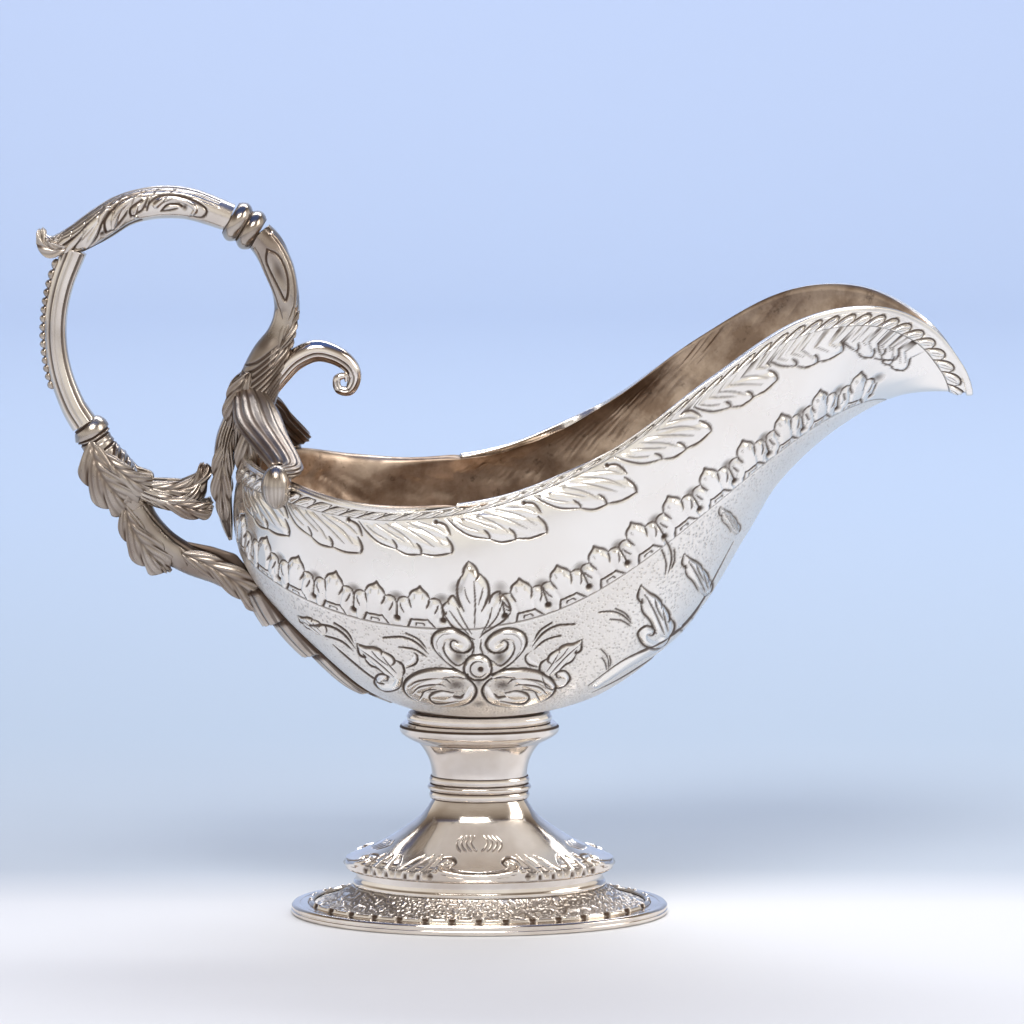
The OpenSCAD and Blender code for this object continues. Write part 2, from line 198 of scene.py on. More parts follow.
# ---- chasing: raised and sunk work in a flat patch of surface ------------------------------

class Relief:
    """Height and darkness added to a surface, in millimetres and from 0 to 1; the darkness is toning in cut
    lines and hollows together with painted shade.
    """

    def __init__(self, shape):
        size = int(np.prod(shape))
        self.shape = shape
        self.up, self.down, self.dark, self.ground = (np.zeros(size) for _ in range(4))

    def height(self):
        return (self.up - self.down).reshape(self.shape)


class Patch:
    """The part of a relief near one motif, with its own flat a and b in millimetres."""

    def __init__(self, relief, index, a, b):
        self.relief, self.index, self.a, self.b = relief, index, a, b

    def reach(self, line, room):
        lo, hi = line.min(0) - room, line.max(0) + room
        return np.flatnonzero((self.a > lo[0]) & (self.a < hi[0])
                              & (self.b > lo[1]) & (self.b < hi[1]))

    def distance(self, k, line):
        a, b = self.a[k][:, None], self.b[k][:, None]
        p, d = line[:-1], np.diff(line, axis=0)
        t = ((a - p[:, 0]) * d[:, 0] + (b - p[:, 1]) * d[:, 1]) / ((d * d).sum(1) + 1e-9)
        t = np.clip(t, 0, 1)
        gap = (a - p[:, 0] - t * d[:, 0]) ** 2 + (b - p[:, 1] - t * d[:, 1]) ** 2
        i = gap.argmin(1)
        rows = np.arange(len(k))
        return np.sqrt(gap[rows, i]), (i + t[rows, i]) / len(d)

    def cut(self, points, width=0.34, depth=0.3, dark=0.95, ends=(0.45, 0.45)):
        """An engraved line; width is its half width, and ends how thin each end gets."""
        line = curve(points)
        width *= FINE
        k = self.reach(line, width * 2)
        if not len(k):
            return
        d, t = self.distance(k, line)
        w = width * (1 - (1 - ends[0]) * smooth(1 - t / 0.3) - (1 - ends[1]) * smooth((t - 0.7) / 0.3))
        f = np.clip(1 - (d / (w * 1.35)) ** 2, 0, 1)
        g = self.index[k]
        self.relief.down[g] = np.maximum(self.relief.down[g], depth * f)
        self.relief.dark[g] = np.maximum(self.relief.dark[g], dark * smooth(f * 1.5))

    def raise_(self, points, radii, height, soft=0.8):
        """A raised body round a line, with a radius at each of its points."""
        line = curve(points)
        k = self.reach(line, max(radii))
        if not len(k):
            return
        d, t = self.distance(k, line)
        r = np.interp(t, np.linspace(0, 1, len(radii)), radii)
        g = self.index[k]
        self.relief.up[g] = np.maximum(self.relief.up[g], height * smooth((r - d) / soft))
        self.relief.ground[g] *= 1 - smooth((r - d) / 0.3 + 0.5)

    def shade(self, centre, radius, dark, depth=0.15, stretch=(1, 1)):
        """A soft sunk spot, with painted shade darkening its colour."""
        k = self.reach(np.array([centre], float), radius * max(stretch))
        d = np.hypot((self.a[k] - centre[0]) / stretch[0], (self.b[k] - centre[1]) / stretch[1])
        f = smooth(1 - d / radius)
        g = self.index[k]
        self.relief.dark[g] = np.maximum(self.relief.dark[g], dark * f)
        self.relief.down[g] = np.maximum(self.relief.down[g], depth * f)

    def dot(self, centre, radius, depth=0.45, dark=1.0):
        k = self.reach(np.array([centre], float), radius * 1.5)
        d = np.hypot(self.a[k] - centre[0], self.b[k] - centre[1])
        f = smooth((radius * 1.25 - d) / (radius * 0.6))
        g = self.index[k]
        self.relief.down[g] = np.maximum(self.relief.down[g], depth * f)
        self.relief.dark[g] = np.maximum(self.relief.dark[g], dark * f)

    def shifted(self, a, b):
        return Patch(self.relief, self.index, self.a + a, self.b + b)


def mirror(points, middle=0.0):
    return [(2 * middle - a, b) for a, b in points]


# ---- motifs --------------------------------------------------------------------------------

def palmette(p):
    """Five-lobed leaf of the garland, standing on its line at b = 0."""
    p.raise_([(0, 3.2), (0, 6.2), (0, 8.8)], [2.6, 2.9, 1.7], 0.5, 1.2)
    for side in (-1, 1):
        p.raise_([(side * 3.2, 2.6), (side * 3.9, 5.4), (side * 4.1, 6.8)], [1.5, 1.7, 1.1], 0.42, 1)
        p.raise_([(side * 5.3, 3.4), (side * 5.1, 5.0)], [0.8, 0.9], 0.3, 0.7)
        p.raise_([(side * 4.1, 0.9), (side * 4.2, 2.2)], [1.2, 1.3], 0.34, 0.8)
        p.cut([(side * 2.6, 8.0), (side * 2.5, 7.0), (side * 1.9, 5.6)], 0.32)
        p.cut([(side * 4.9, 6.6), (side * 4.6, 5.4), (side * 3.9, 4.2)], 0.26)
        p.cut([(side * 5.9, 6.2), (side * 5.3, 7.7), (side * 4.1, 8.3), (side * 2.9, 8.1)], 0.3)
        p.cut([(side * 1.1, 9.4), (side * 1.0, 8.2)], 0.16, dark=0.4)
    p.cut([(-2.8, 8.1), (-1.9, 9.8), (-0.5, 10.6), (0.3, 11.2)], 0.34, ends=(0.4, 1))
    p.cut([(0.3, 11.3), (1.1, 10.3), (2.0, 9.5), (2.8, 8.2)], 0.4, ends=(1, 0.4))
    p.cut([(-3.1, 0.3), (-2.2, 2.4)], 0.34, ends=(1, 1))
    p.cut([(-2.2, 2.4), (0, 2.5), (2.2, 2.4)], 0.34, ends=(1, 1))
    p.cut([(2.2, 2.4), (3.1, 1.2), (4.0, 0.4)], 0.34, ends=(1, 0.5))
    p.cut([(-1.1, 0.7), (-0.8, 1.5)], 0.24, ends=(1, 1))
    p.cut([(-0.8, 1.5), (0.8, 1.5)], 0.24, ends=(1, 1))
    p.cut([(0.8, 1.5), (1.2, 0.7)], 0.24, ends=(1, 1))


def teardrop(p):
    """Punched drop between two palmettes, with the sunk notch above it darkened by painted shade."""
    # painted shade in the notch between two palmettes
    p.shade((0, 8.2), 2.5, 0.7, 0.4, (1.1, 0.8))
    p.cut([(0, 6.6), (0.05, 4.6), (0, 2.6)], 0.28, 0.35, ends=(0.8, 1.6))
    p.dot((0, 2.3), 0.95)


def feather(p, length=24.0):
    """Leaf that hangs from the border and sweeps toward the spout; its root is at (0, 0)."""
    q = length / 25
    for pts, radii, h in (
        ([(2, -1.5), (6, -4.2), (9.2, -6.1)], [1.2, 1.9, 1.3], 0.24),
        ([(5, -1.8), (11, -5.2), (15.6, -7.5)], [1.2, 2.2, 1.4], 0.3),
        ([(9, -1.8), (17, -5), (23.4, -7.4)], [1.2, 2.3, 1.6], 0.36),
        ([(14, -1.2), (20, -2.9), (23.6, -4.4)], [0.8, 1.5, 1.0], 0.24),
    ):
        p.raise_([(a * q, b) for a, b in pts], radii, h, 1.3)
    for pts, w in (
        ([(0.4, -0.2), (2.6, -3.2), (5.6, -5.8), (10.2, -7.5)], 0.3),
        ([(10.2, -7.5), (10.2, -6.4), (9.2, -5.0)], 0.34),
        ([(10.3, -7.6), (13, -8.9), (16.7, -9)], 0.3),
        ([(16.7, -9), (16.8, -7.7), (15.8, -6.2)], 0.36),
        ([(16.9, -8.8), (20.5, -9.4), (24.8, -8.9)], 0.3),
        ([(25, -9), (25.2, -7.2), (23.8, -4.9)], 0.42),
        ([(21.2, -0.9), (23.6, -1.9), (24.9, -4.4)], 0.42),
    ):
        p.cut([(a * q, b) for a, b in pts], w)
    for pts in (
        [(2.4, -1.2), (4.6, -3.2), (7.8, -5.0)],
        [(5.0, -1.0), (8.5, -3.2), (12.5, -5.6)],
        [(7.6, -0.9), (12.5, -4.1), (15.2, -7.0)],
        [(10.2, -0.8), (16, -4.1), (20.4, -7.2)],
        [(13.2, -0.8), (19, -3.6), (22.8, -6.8)],
        [(16.2, -0.7), (21, -2.4), (23.6, -4.2)],
    ):
        p.cut([(a * q, b) for a, b in pts], 0.2, 0.2, 0.7, (0.5, 0.5))
    p.dot((21.0 * q, -0.9), 0.62)


def centre_leaf(p):
    """Tall three-part leaf over the middle of the bowl; the rosette below it is at (0, 0)."""
    p.raise_([(-0.3, 4), (-0.8, 12), (-1.2, 20), (-2.1, 25)], [1.3, 3.2, 3.8, 1.2], 0.75, 1.6)
    p.raise_([(-1.6, 8.6), (-5, 12.6), (-7.2, 16.4)], [1.1, 2.6, 1.5], 0.6, 1.3)
    p.raise_([(0.6, 8.6), (4, 12.8), (6.0, 17.2)], [1.1, 2.6, 1.6], 0.6, 1.3)
    for pts, w in (
        ([(-2.4, 27.2), (-3.5, 25.2), (-3.7, 23.8)], 0.4),
        ([(-3.5, 24.2), (-4.9, 21.9), (-5.2, 19.3), (-4.6, 16.6), (-3.4, 14.6)], 0.4),
        ([(-2.3, 27.2), (-0.6, 25.7), (0.1, 23.6), (-0.4, 22.6)], 0.42),
        ([(0.2, 24.3), (2.2, 22.1), (2.8, 19.4), (2.2, 17), (1.0, 14.8)], 0.42),
        ([(-4.6, 15.4), (-6.1, 18.4), (-7.4, 17.4), (-7.2, 16.6)], 0.36),
        ([(-7.4, 17.3), (-8.9, 15.6), (-8.3, 13.8), (-7.8, 14.3)], 0.36),
        ([(-8.6, 13.8), (-6.1, 10.2), (-3.3, 8.6), (-0.8, 7.6)], 0.34),
        ([(2.8, 16.4), (3.6, 18.6), (5.4, 19.5), (5.4, 18.0)], 0.36),
        ([(5.6, 19.3), (7.5, 17.2), (8.2, 14.9), (7.2, 15.0)], 0.36),
        ([(8.2, 14.2), (6.6, 12.2), (4, 10.6), (1.7, 9.2), (0.5, 8)], 0.34),
        ([(-0.9, 22.4), (-0.6, 16.7), (-0.8, 10.8)], 0.24),
        ([(-7, 14.8), (-4.6, 11.4), (-2.2, 8.7)], 0.22),
        ([(-5.2, 15.6), (-3.4, 12), (-1.5, 9)], 0.22),
        ([(6.1, 16.7), (4.6, 13), (1.8, 9.8)], 0.22),
        ([(3.6, 15.6), (2.6, 12), (0.9, 9)], 0.22),
        ([(-1.2, 7.4), (-1.0, 5.2), (-1.6, 3.2)], 0.26),
        ([(0.8, 7.4), (0.7, 5.2), (1.4, 3.2)], 0.26),
        ([(-3.2, 20.8), (-2.8, 18.6), (-1.8, 16.6)], 0.16),
        ([(1.4, 20.6), (0.9, 18.6), (0.2, 16.4)], 0.16),
    ):
        p.cut(pts, w)
    for a in (-6.4, 4.6):
        p.shade((a + 1.0, 20.4), 3.4, 0.5, 0.3, (0.8, 0.8))
    p.raise_([(-0.2, 0), (0.2, 0)], [3.3, 3.3], 0.8, 1.1)
    ring = [(math.cos(t) , math.sin(t)) for t in np.linspace(0, 2 * math.pi, 13)]
    p.cut([(3.5 * a, 3.4 * b) for a, b in ring], 0.36, 0.4, ends=(1, 1))
    p.cut([(2.1 * a + 0.2, 2.0 * b) for a, b in ring[2:-1]], 0.26, 0.3)
    p.dot((0.7, -0.1), 0.8)


VOLUTE = [(-2.8, -1.8), (-7, 0.6), (-10.3, 3.9), (-11.7, 6.7), (-10.5, 9.1), (-7, 10.1),
          (-3.3, 8.8), (-1.4, 6.3), (-2.3, 4.3), (-4.7, 3.8), (-6.6, 4.8), (-6.9, 6.3),
          (-6, 7), (-5.1, 6.4)]
C_SCROLL = [(-2.6, -1.5), (-7, -0.4), (-12.7, -0.5), (-16.9, -2.2), (-19, -4.8), (-17.8, -7.6),
            (-13.1, -9.6), (-7, -10.2), (-2.3, -9.2), (-0.4, -6.3), (-1.8, -3.6), (-4.8, -2.1),
            (-8.6, -2.3)]


def scrolls(p):
    """The volutes beside the rosette and the two lying C scrolls under it."""
    for side in (1, -1):
        f = (lambda pts: pts) if side == 1 else (lambda pts: mirror(pts, 0.3))
        p.raise_(f([(-2.6, -0.6), (-6.6, 2.0), (-9.6, 5.2), (-9.2, 8), (-5.8, 8.6), (-2.9, 6.6),
                    (-3.8, 4.9), (-5.6, 5.8)]), [1.3, 1.5, 1.7, 1.7, 1.5, 1.3, 1.1, 0.8], 0.7, 0.9)
        p.cut(f(VOLUTE), 0.36, 0.36, ends=(0.8, 0.5))
        p.cut(f([(-2.6, 1.9), (-5.2, 0.9), (-7.6, 3.0), (-8.6, 5.2), (-8.2, 6.6)]), 0.3)
        p.cut(f([(-10, 4.8), (-10.2, 7), (-8.6, 8.8), (-6, 8.9)]), 0.16, 0.2, 0.6)
        p.cut(f([(-8.4, 2.2), (-9.8, 4.4)]), 0.16, 0.2, 0.6)
        p.shade(f([(-5, 2.6)])[0], 2.6, 0.8, 0.3)
        p.raise_(f([(-3.4, -2.2), (-8, -1.6), (-13, -1.9), (-16.6, -3.8), (-17.2, -5.8),
                    (-14, -8), (-8, -9), (-3, -8), (-1.6, -5.6)]),
                 [0.9, 1.4, 1.7, 1.6, 1.5, 1.5, 1.5, 1.3, 0.9], 0.75, 0.8)
        p.raise_(f([(-16.4, -6.4), (-13, -4.6), (-9.4, -3.6)]), [1.4, 1.3, 0.5], 0.55, 0.8)
        p.raise_(f([(-12.6, -7.4), (-9.6, -7.6), (-6.6, -7)]), [0.8, 1.3, 0.7], 0.6, 0.7)
        p.cut(f(C_SCROLL), 0.38, 0.4, ends=(0.8, 0.5))
        p.cut(f([(-17.4, -4.6), (-15.2, -3.2), (-11.4, -2.6), (-8.4, -3.0), (-7.0, -4.2)]), 0.28)
        p.cut(f([(-16.6, -6.4), (-14.6, -4.8), (-11.2, -4.2), (-8.6, -4.8)]), 0.26)
        p.cut(f([(-14.8, -8), (-13.4, -6.2), (-10.6, -5.8)]), 0.24)
        p.cut(f([(-6.2, -6.6), (-9.4, -6.2), (-12.2, -7.2), (-11, -8.8), (-8.4, -8.9), (-5, -8.2)]), 0.3)
        p.cut(f([(-3.4, -6.8), (-4.6, -7.6), (-7.4, -7.4)]), 0.22)
        p.shade(f([(-5.6, -4.6)])[0], 2.6, 0.8, 0.3, (1.3, 0.8))
    p.shade((0.15, -3.4), 2.2, 0.8, 0.3, (0.6, 0.9))
    p.shade((0.15, -9.6), 2.0, 0.6, 0.2, (1.2, 0.6))


def sprig(p, curl=True):
    """Leaf on a short scrolled stem, tip at (0, 0) and base at about (11, -10)."""
    p.raise_([(0.8, -0.6), (4.4, -2.8), (8.4, -6.2), (10.4, -8.4)], [0.8, 2.2, 2.4, 1.2], 0.6, 1.1)
    for pts, w in (
        ([(0, 0), (2.4, -0.7), (4.2, -0.9), (6.0, -1.6), (6.4, -2.6)], 0.36),
        ([(6.4, -1.9), (8.8, -3.2), (9.6, -4.6), (9.0, -5.2)], 0.36),
        ([(9.6, -4.2), (11.4, -5.2), (12.0, -7.0), (11.6, -8.2)], 0.36),
        ([(0, -0.1), (0.5, -2.8), (2.0, -3.6), (1.6, -2.8)], 0.36),
        ([(1.8, -3.8), (3.2, -5.6), (5.4, -6.6), (8.2, -8.9)], 0.3),
        ([(1.4, -1.4), (5.2, -4.2), (9.6, -8.2)], 0.2),
        ([(4.0, -1.5), (5.6, -3.4), (8.0, -5.2)], 0.18),
        ([(6.8, -3.0), (8.6, -5.4), (10.2, -7.2)], 0.18),
    ):
        p.cut(pts, w)
    if curl:
        p.raise_([(10.8, -8.6), (9.6, -11), (6.6, -11.4), (5.4, -9.8), (6.8, -8.8)],
                 [0.9, 1, 1, 0.9, 0.6], 0.5, 0.7)
        p.cut([(11.6, -8.6), (10.6, -11.6), (7.0, -12.6), (4.2, -10.6), (5.2, -8.2), (7.4, -8.2),
               (7.6, -9.6), (6.6, -9.8)], 0.32)
        p.raise_([(12.6, -5.4), (14.4, -4.4), (15.2, -2.8)], [0.5, 0.7, 0.5], 0.3, 0.6)
        p.cut([(12.6, -6.2), (15.0, -5.0), (15.4, -3.0), (14.4, -2.2)], 0.3)


def strokes(p):
    """Three curved flicks of the graver that spring from (0, 0) toward -a and +b."""
    p.cut([(0, 0), (-3.2, 3), (-6.8, 4.4), (-11.4, 4.2)], 0.34, 0.3, ends=(0.3, 0.9))
    p.cut([(-0.6, 1.4), (-2.6, 3.8), (-5.8, 5.4)], 0.3, 0.28, ends=(0.3, 0.9))
    p.cut([(-0.4, -0.8), (-3.6, 1.2), (-7.6, 1.8)], 0.3, 0.28, ends=(0.3, 0.9))


def spray(p):
    """The group nearer the spout: one rising stem, with leaves, flicks and a curl along it."""
    p.raise_([(-14, -19), (-7, -14), (0, -10), (7, -6), (13, 1)], [0.8, 1.2, 1.3, 1.1, 0.6], 0.4, 1.0)
    p.cut([(-16, -19), (-8, -13), (0, -9), (7, -5), (13, 2), (17, 10), (21, 18)], 0.3)
    p.cut([(-15, -21), (-7, -17), (1, -12), (8, -7), (12, -1)], 0.26)
    sprig(turned(p, (-3, 7), -24, 1.1))
    sprig(turned(p, (8, 15), -20, 0.9), False)
    sprig(turned(p, (17, 27), -16, 0.6), False)
    strokes(turned(p, (4, 10), -60, 0.8))
    strokes(turned(p, (-5, -3), 0, 0.75))
    strokes(turned(p, (-11, -15), -50, 0.5))


# ---- meshes --------------------------------------------------------------------------------

class Shell:
    """One mesh gathered from several grids of points, in millimetres."""

    def __init__(self):
        self.points, self.loops, self.sizes = [], [], []
        # patina holds toning in cut lines and hollows, and also painted shade in recesses, gaps and under
        # edges
        self.marks = {"patina": [], "ground": [], "inside": []}
        self.count = 0

    def grid(self, p, closed=True, loop=False, caps=(False, False), **marks):
        """p is rows by columns; closed joins the columns round, and loop the rows."""
        n, m = p.shape[:2]
        index = self.count + np.arange(n * m).reshape(n, m)
        rows = np.vstack([index, index[:1]]) if loop else index
        full = np.hstack([rows, rows[:, :1]]) if closed else rows
        quads = np.stack([full[:-1, :-1], full[:-1, 1:], full[1:, 1:], full[1:, :-1]], -1)
        self.loops.append(quads.reshape(-1))
        self.sizes.append(np.full(quads.shape[0] * quads.shape[1], 4))
        self.points.append(p.reshape(-1, 3))
        for key, store in self.marks.items():
            value = marks.get(key, 0.0)
            store.append(np.broadcast_to(value, (n, m)).reshape(-1).astype(np.float32))
        self.count += n * m
        for end, row in ((0, index[0][::-1]), (1, index[-1])):
            if caps[end]:
                centre = self.count
                middle = p[-end].mean(0)
                self.points.append(middle[None])
                for key, store in self.marks.items():
                    store.append(store[-1][:1])
                self.count += 1
                ring = np.r_[row, row[:1]]
                tris = np.stack([ring[:-1], ring[1:], np.full(m, centre)], -1)
                self.loops.append(tris.reshape(-1))
                self.sizes.append(np.full(m, 3))
        return self

    def build(self, name, material, nodes):
        co = np.clip(np.concatenate(self.points) * MM, *np.array(CAD_BOX))
        loops = np.concatenate(self.loops).astype(np.int32)
        sizes = np.concatenate(self.sizes).astype(np.int32)
        mesh = bpy.data.meshes.new(name)
        mesh.vertices.add(len(co))
        mesh.vertices.foreach_set("co", co.astype(np.float32).ravel())
        mesh.loops.add(len(loops))
        mesh.loops.foreach_set("vertex_index", loops)
        mesh.polygons.add(len(sizes))
        mesh.polygons.foreach_set("loop_start", np.r_[0, np.cumsum(sizes)[:-1]].astype(np.int32))
        mesh.polygons.foreach_set("loop_total", sizes)
        mesh.polygons.foreach_set("use_smooth", np.ones(len(sizes), bool))
        for key, store in self.marks.items():
            mark = mesh.attributes.new(key, "FLOAT", "POINT")
            mark.data.foreach_set("value", np.concatenate(store))
        mesh.update(calc_edges=True)
        mesh.validate()
        mesh.materials.append(material)
        obj = bpy.data.objects.new(name, mesh)
        bpy.context.scene.collection.objects.link(obj)
        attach(obj, "root")
        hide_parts(*nodes)
        return obj


def rounded(outline, radius, steps=4):
    """A closed outline with its corners rounded off."""
    p = np.array(outline, float)
    before, after = np.roll(p, 1, 0), np.roll(p, -1, 0)
    out = []
    for a, b, c in zip(before, p, after):
        ra = min(radius, np.linalg.norm(a - b) * 0.45)
        rc = min(radius, np.linalg.norm(c - b) * 0.45)
        s, e = b + unit(a - b) * ra, b + unit(c - b) * rc
        for t in np.linspace(0, 1, steps):
            out.append((1 - t) ** 2 * s + 2 * t * (1 - t) * b + t * t * e)
    return np.array(out)


def oval_grid(outline, around):
    """An outline of (radius, height) points turned into oval rings, rows by columns."""
    t = np.linspace(0, 2 * np.pi, around, endpoint=False)
    r, z = outline[:, 0][:, None], outline[:, 1][:, None]
    return np.stack([FOOT_X + r * np.cos(t), OVAL * r * np.sin(t), z + 0 * t], -1)


def nodes_of(material):
    return material.node_tree.nodes, material.node_tree.links


def silver(name, tint, rough, tarnish, tarnish_tint, cell=0.012, hammer=0.0, inner=None,
           stipple=False):
    """Silver with toned recesses and painted shade, cloudy tarnish, fine rubbing marks and optional
    planishing.
    """
    material = bpy.data.materials.new(name)
    material.use_nodes = True
    nodes, links = nodes_of(material)
    bsdf = nodes["Principled BSDF"]
    bsdf.inputs["Metallic"].default_value = 1.0
    coord = nodes.new("ShaderNodeTexCoord").outputs["Object"]

    def attribute(key):
        node = nodes.new("ShaderNodeAttribute")
        node.attribute_name = key
        return node.outputs["Fac"]

    def cloud(scale, detail=3.0, rough_=0.55):
        node = nodes.new("ShaderNodeTexNoise")
        node.inputs["Scale"].default_value = scale
        node.inputs["Detail"].default_value = detail
        node.inputs["Roughness"].default_value = rough_
        links.new(coord, node.inputs["Vector"])
        return node.outputs["Fac"]

    def ranged(value, lo, hi, a=0.0, b=1.0):
        node = nodes.new("ShaderNodeMapRange")
        for key, v in (("From Min", lo), ("From Max", hi), ("To Min", a), ("To Max", b)):
            node.inputs[key].default_value = v
        links.new(value, node.inputs["Value"])
        return node.outputs["Result"]

    def math_(op, a, b):
        node = nodes.new("ShaderNodeMath")
        node.operation = op
        for i, v in enumerate((a, b)):
            if isinstance(v, (int, float)):
                node.inputs[i].default_value = v
            else:
                links.new(v, node.inputs[i])
        return node.outputs[0]

    def mix(fac, a, b):
        node = nodes.new("ShaderNodeMix")
        node.data_type = "RGBA"
        links.new(fac, node.inputs["Factor"])
        for key, v in (("A", a), ("B", b)):
            socket = [s for s in node.inputs if s.name == key and s.type == "RGBA"][0]
            if isinstance(v, tuple):
                socket.default_value = (*v, 1)
            else:
                links.new(v, socket)
        return [s for s in node.outputs if s.type == "RGBA"][0]

    # this attribute darkens the colour both for toning and for painted shade
    patina = attribute("patina")
    clouds = ranged(cloud(1 / cell), 0.38, 0.7)
    toned = math_("MULTIPLY", clouds, tarnish)
    base = mix(toned, tint, tarnish_tint)
    roughness = ranged(cloud(1 / cell * 2.3), 0.3, 0.7, rough * 0.8, rough * 1.25)
    ground = attribute("ground")
    if inner:
        patches = ranged(cloud(70, 5.0, 0.65), 0.4, 0.62)
        deep = mix(patches, inner[0], inner[1])
        spots = ranged(cloud(210, 4.0, 0.7), 0.6, 0.7)
        deep = mix(math_("MULTIPLY", spots, 0.6), deep, inner[2])
        base = mix(attribute("inside"), base, deep)
        roughness = math_("ADD", roughness, math_("MULTIPLY", attribute("inside"), 0.12))
    if stipple:
        base = mix(math_("MULTIPLY", ground, 0.15), base, (0.7, 0.64, 0.58))
        pricks = nodes.new("ShaderNodeTexVoronoi")
        pricks.inputs["Scale"].default_value = 1150
        links.new(coord, pricks.inputs["Vector"])
        pricked = ranged(pricks.outputs["Distance"], 0.32, 0.12)
        base = mix(math_("MULTIPLY", math_("MULTIPLY", ground, pricked), 0.5), base, (0.3, 0.24, 0.19))
        roughness = math_("ADD", roughness, math_("MULTIPLY", ground, 0.12))
    base = mix(math_("MULTIPLY", patina, 0.96), base, (0.075, 0.045, 0.03))
    roughness = math_("ADD", roughness, math_("MULTIPLY", patina, 0.35))
    links.new(base, bsdf.inputs["Base Color"])
    links.new(roughness, bsdf.inputs["Roughness"])

    def bump(height, strength, distance, before=None):
        node = nodes.new("ShaderNodeBump")
        node.inputs["Distance"].default_value = distance
        if isinstance(strength, (int, float)):
            node.inputs["Strength"].default_value = strength
        else:
            links.new(strength, node.inputs["Strength"])
        links.new(height, node.inputs["Height"])
        if before is not None:
            links.new(before, node.inputs["Normal"])
        return node.outputs["Normal"]

    stretch = nodes.new("ShaderNodeMapping")
    stretch.inputs["Scale"].default_value = (400, 3000, 2200)
    links.new(coord, stretch.inputs["Vector"])
    rubbed = nodes.new("ShaderNodeTexNoise")
    rubbed.inputs["Scale"].default_value = 1.0
    rubbed.inputs["Detail"].default_value = 2.0
    links.new(stretch.outputs["Vector"], rubbed.inputs["Vector"])
    normal = bump(rubbed.outputs["Fac"], 0.12, 0.00004)
    normal = bump(cloud(1 / cell * 1.4, 2.0), 0.25, 0.0003, normal)
    if hammer:
        normal = bump(cloud(190, 1.0), hammer, 0.0004, normal)
    if stipple:
        pits = ranged(pricks.outputs["Distance"], 0.1, 0.55)
        normal = bump(pits, math_("MULTIPLY", ground, 0.9), 0.0002, normal)
    links.new(normal, bsdf.inputs["Normal"])
    return material


BRIGHT = silver("silver_bright", (0.86, 0.8, 0.735), 0.12, 0.6, (0.58, 0.49, 0.41))
CHASED = silver("silver_chased_work", (0.92, 0.89, 0.84), 0.24, 0.45, (0.77, 0.7, 0.62),
                cell=0.03, hammer=0.14, stipple=True,
                inner=((0.56, 0.44, 0.34), (0.27, 0.19, 0.135), (0.08, 0.052, 0.036)))
CAST = silver("silver_cast_toned", (0.57, 0.51, 0.445), 0.19, 0.8, (0.26, 0.2, 0.16))
MATTED = silver("silver_matted", (0.78, 0.72, 0.65), 0.2, 0.55, (0.5, 0.42, 0.35))


# ---- bowl ----------------------------------------------------------------------------------

TILT = 0.146                      # slope at which the photograph looks down
ROSETTE = (266.0, 0.3975)         # its angle round the bowl and share of the height
DROPS = ((79.3, -12.1, 7), (95.3, 11.5, 11))     # first place along the garland, pitch, count
PALMETTES = ((73.2, -12.1, 6), (101.0, 11.5, 10))
BORDER_LEAVES = (12, 22.5, 9)     # the same along the border
LAST_LEAF = 214                   # middle of the short leaf at the spout
LINE_LOW, LINE_LOW_AT = 0.505, 115.0
LINE_BACK, LINE_SPOUT = 0.74, 0.85


def line_v(u):
    """Height share of the garland's ground line at angle u from the spout."""
    back = np.clip((u - LINE_LOW_AT) / (180 - LINE_LOW_AT), 0, 1)
    front = np.clip((LINE_LOW_AT - u) / LINE_LOW_AT, 0, 1)
    return LINE_LOW + (LINE_BACK - LINE_LOW) * back**2 + (LINE_SPOUT - LINE_LOW) * smooth(front**1.25)


def even_angles(v, count):
    """Angles from the back (180) round the near side to the spout (360), evenly spaced."""
    u = np.linspace(180, 360, 2001)
    s = length_along(bowl_at(u, v))
    return np.interp(np.linspace(0, s[-1], count), s, u)


class Track:
    """A line round the near side of the bowl, read by its length from the back."""

    def __init__(self, v_of):
        self.u = np.linspace(180, 360, 3001)
        self.v = v_of(360 - self.u)
        self.p = bowl_at(self.u, self.v)
        self.s = length_along(self.p)

    def frame(self, s):
        u, v = np.interp(s, self.s, self.u), np.interp(s, self.s, self.v)
        ahead = min(s + 2.0, self.s[-1])
        behind = max(s - 2.0, 0)
        ends = [np.array([np.interp(x, self.s, self.p[:, i]) for i in range(3)])
                for x in (behind, ahead)]
        n = bowl_normal(u, v)
        t = unit(ends[1] - ends[0])
        t = unit(t - n * (t @ n))
        return bowl_at(u, v), t, n


def places(*runs):
    """Places along a line, from runs of (first, pitch, count)."""
    return np.concatenate([first + pitch * np.arange(count) for first, pitch, count in runs])


def stamp(relief, p, n, frame_, reach=16.0):
    """The patch of a surface round one place of a track, with b pointing up."""
    c, t, normal = frame_
    side = np.cross(normal, t)
    side = side if side[2] > 0 else -side
    gap = p - c
    near = np.flatnonzero(((gap * gap).sum(-1) < reach**2) & (n @ normal > 0.2))
    return Patch(relief, near, gap[near] @ t, gap[near] @ side)


def turned(p, at, angle=0.0, size=1.0, flip=False):
    """The same patch seen from a motif set down at a point, turned and sized."""
    a, b = (p.a - at[0]) / size, (p.b - at[1]) / size
    c, s = math.cos(math.radians(angle)), math.sin(math.radians(angle))
    a, b = a * c + b * s, b * c - a * s
    return Patch(p.relief, p.index, -a if flip else a, b)


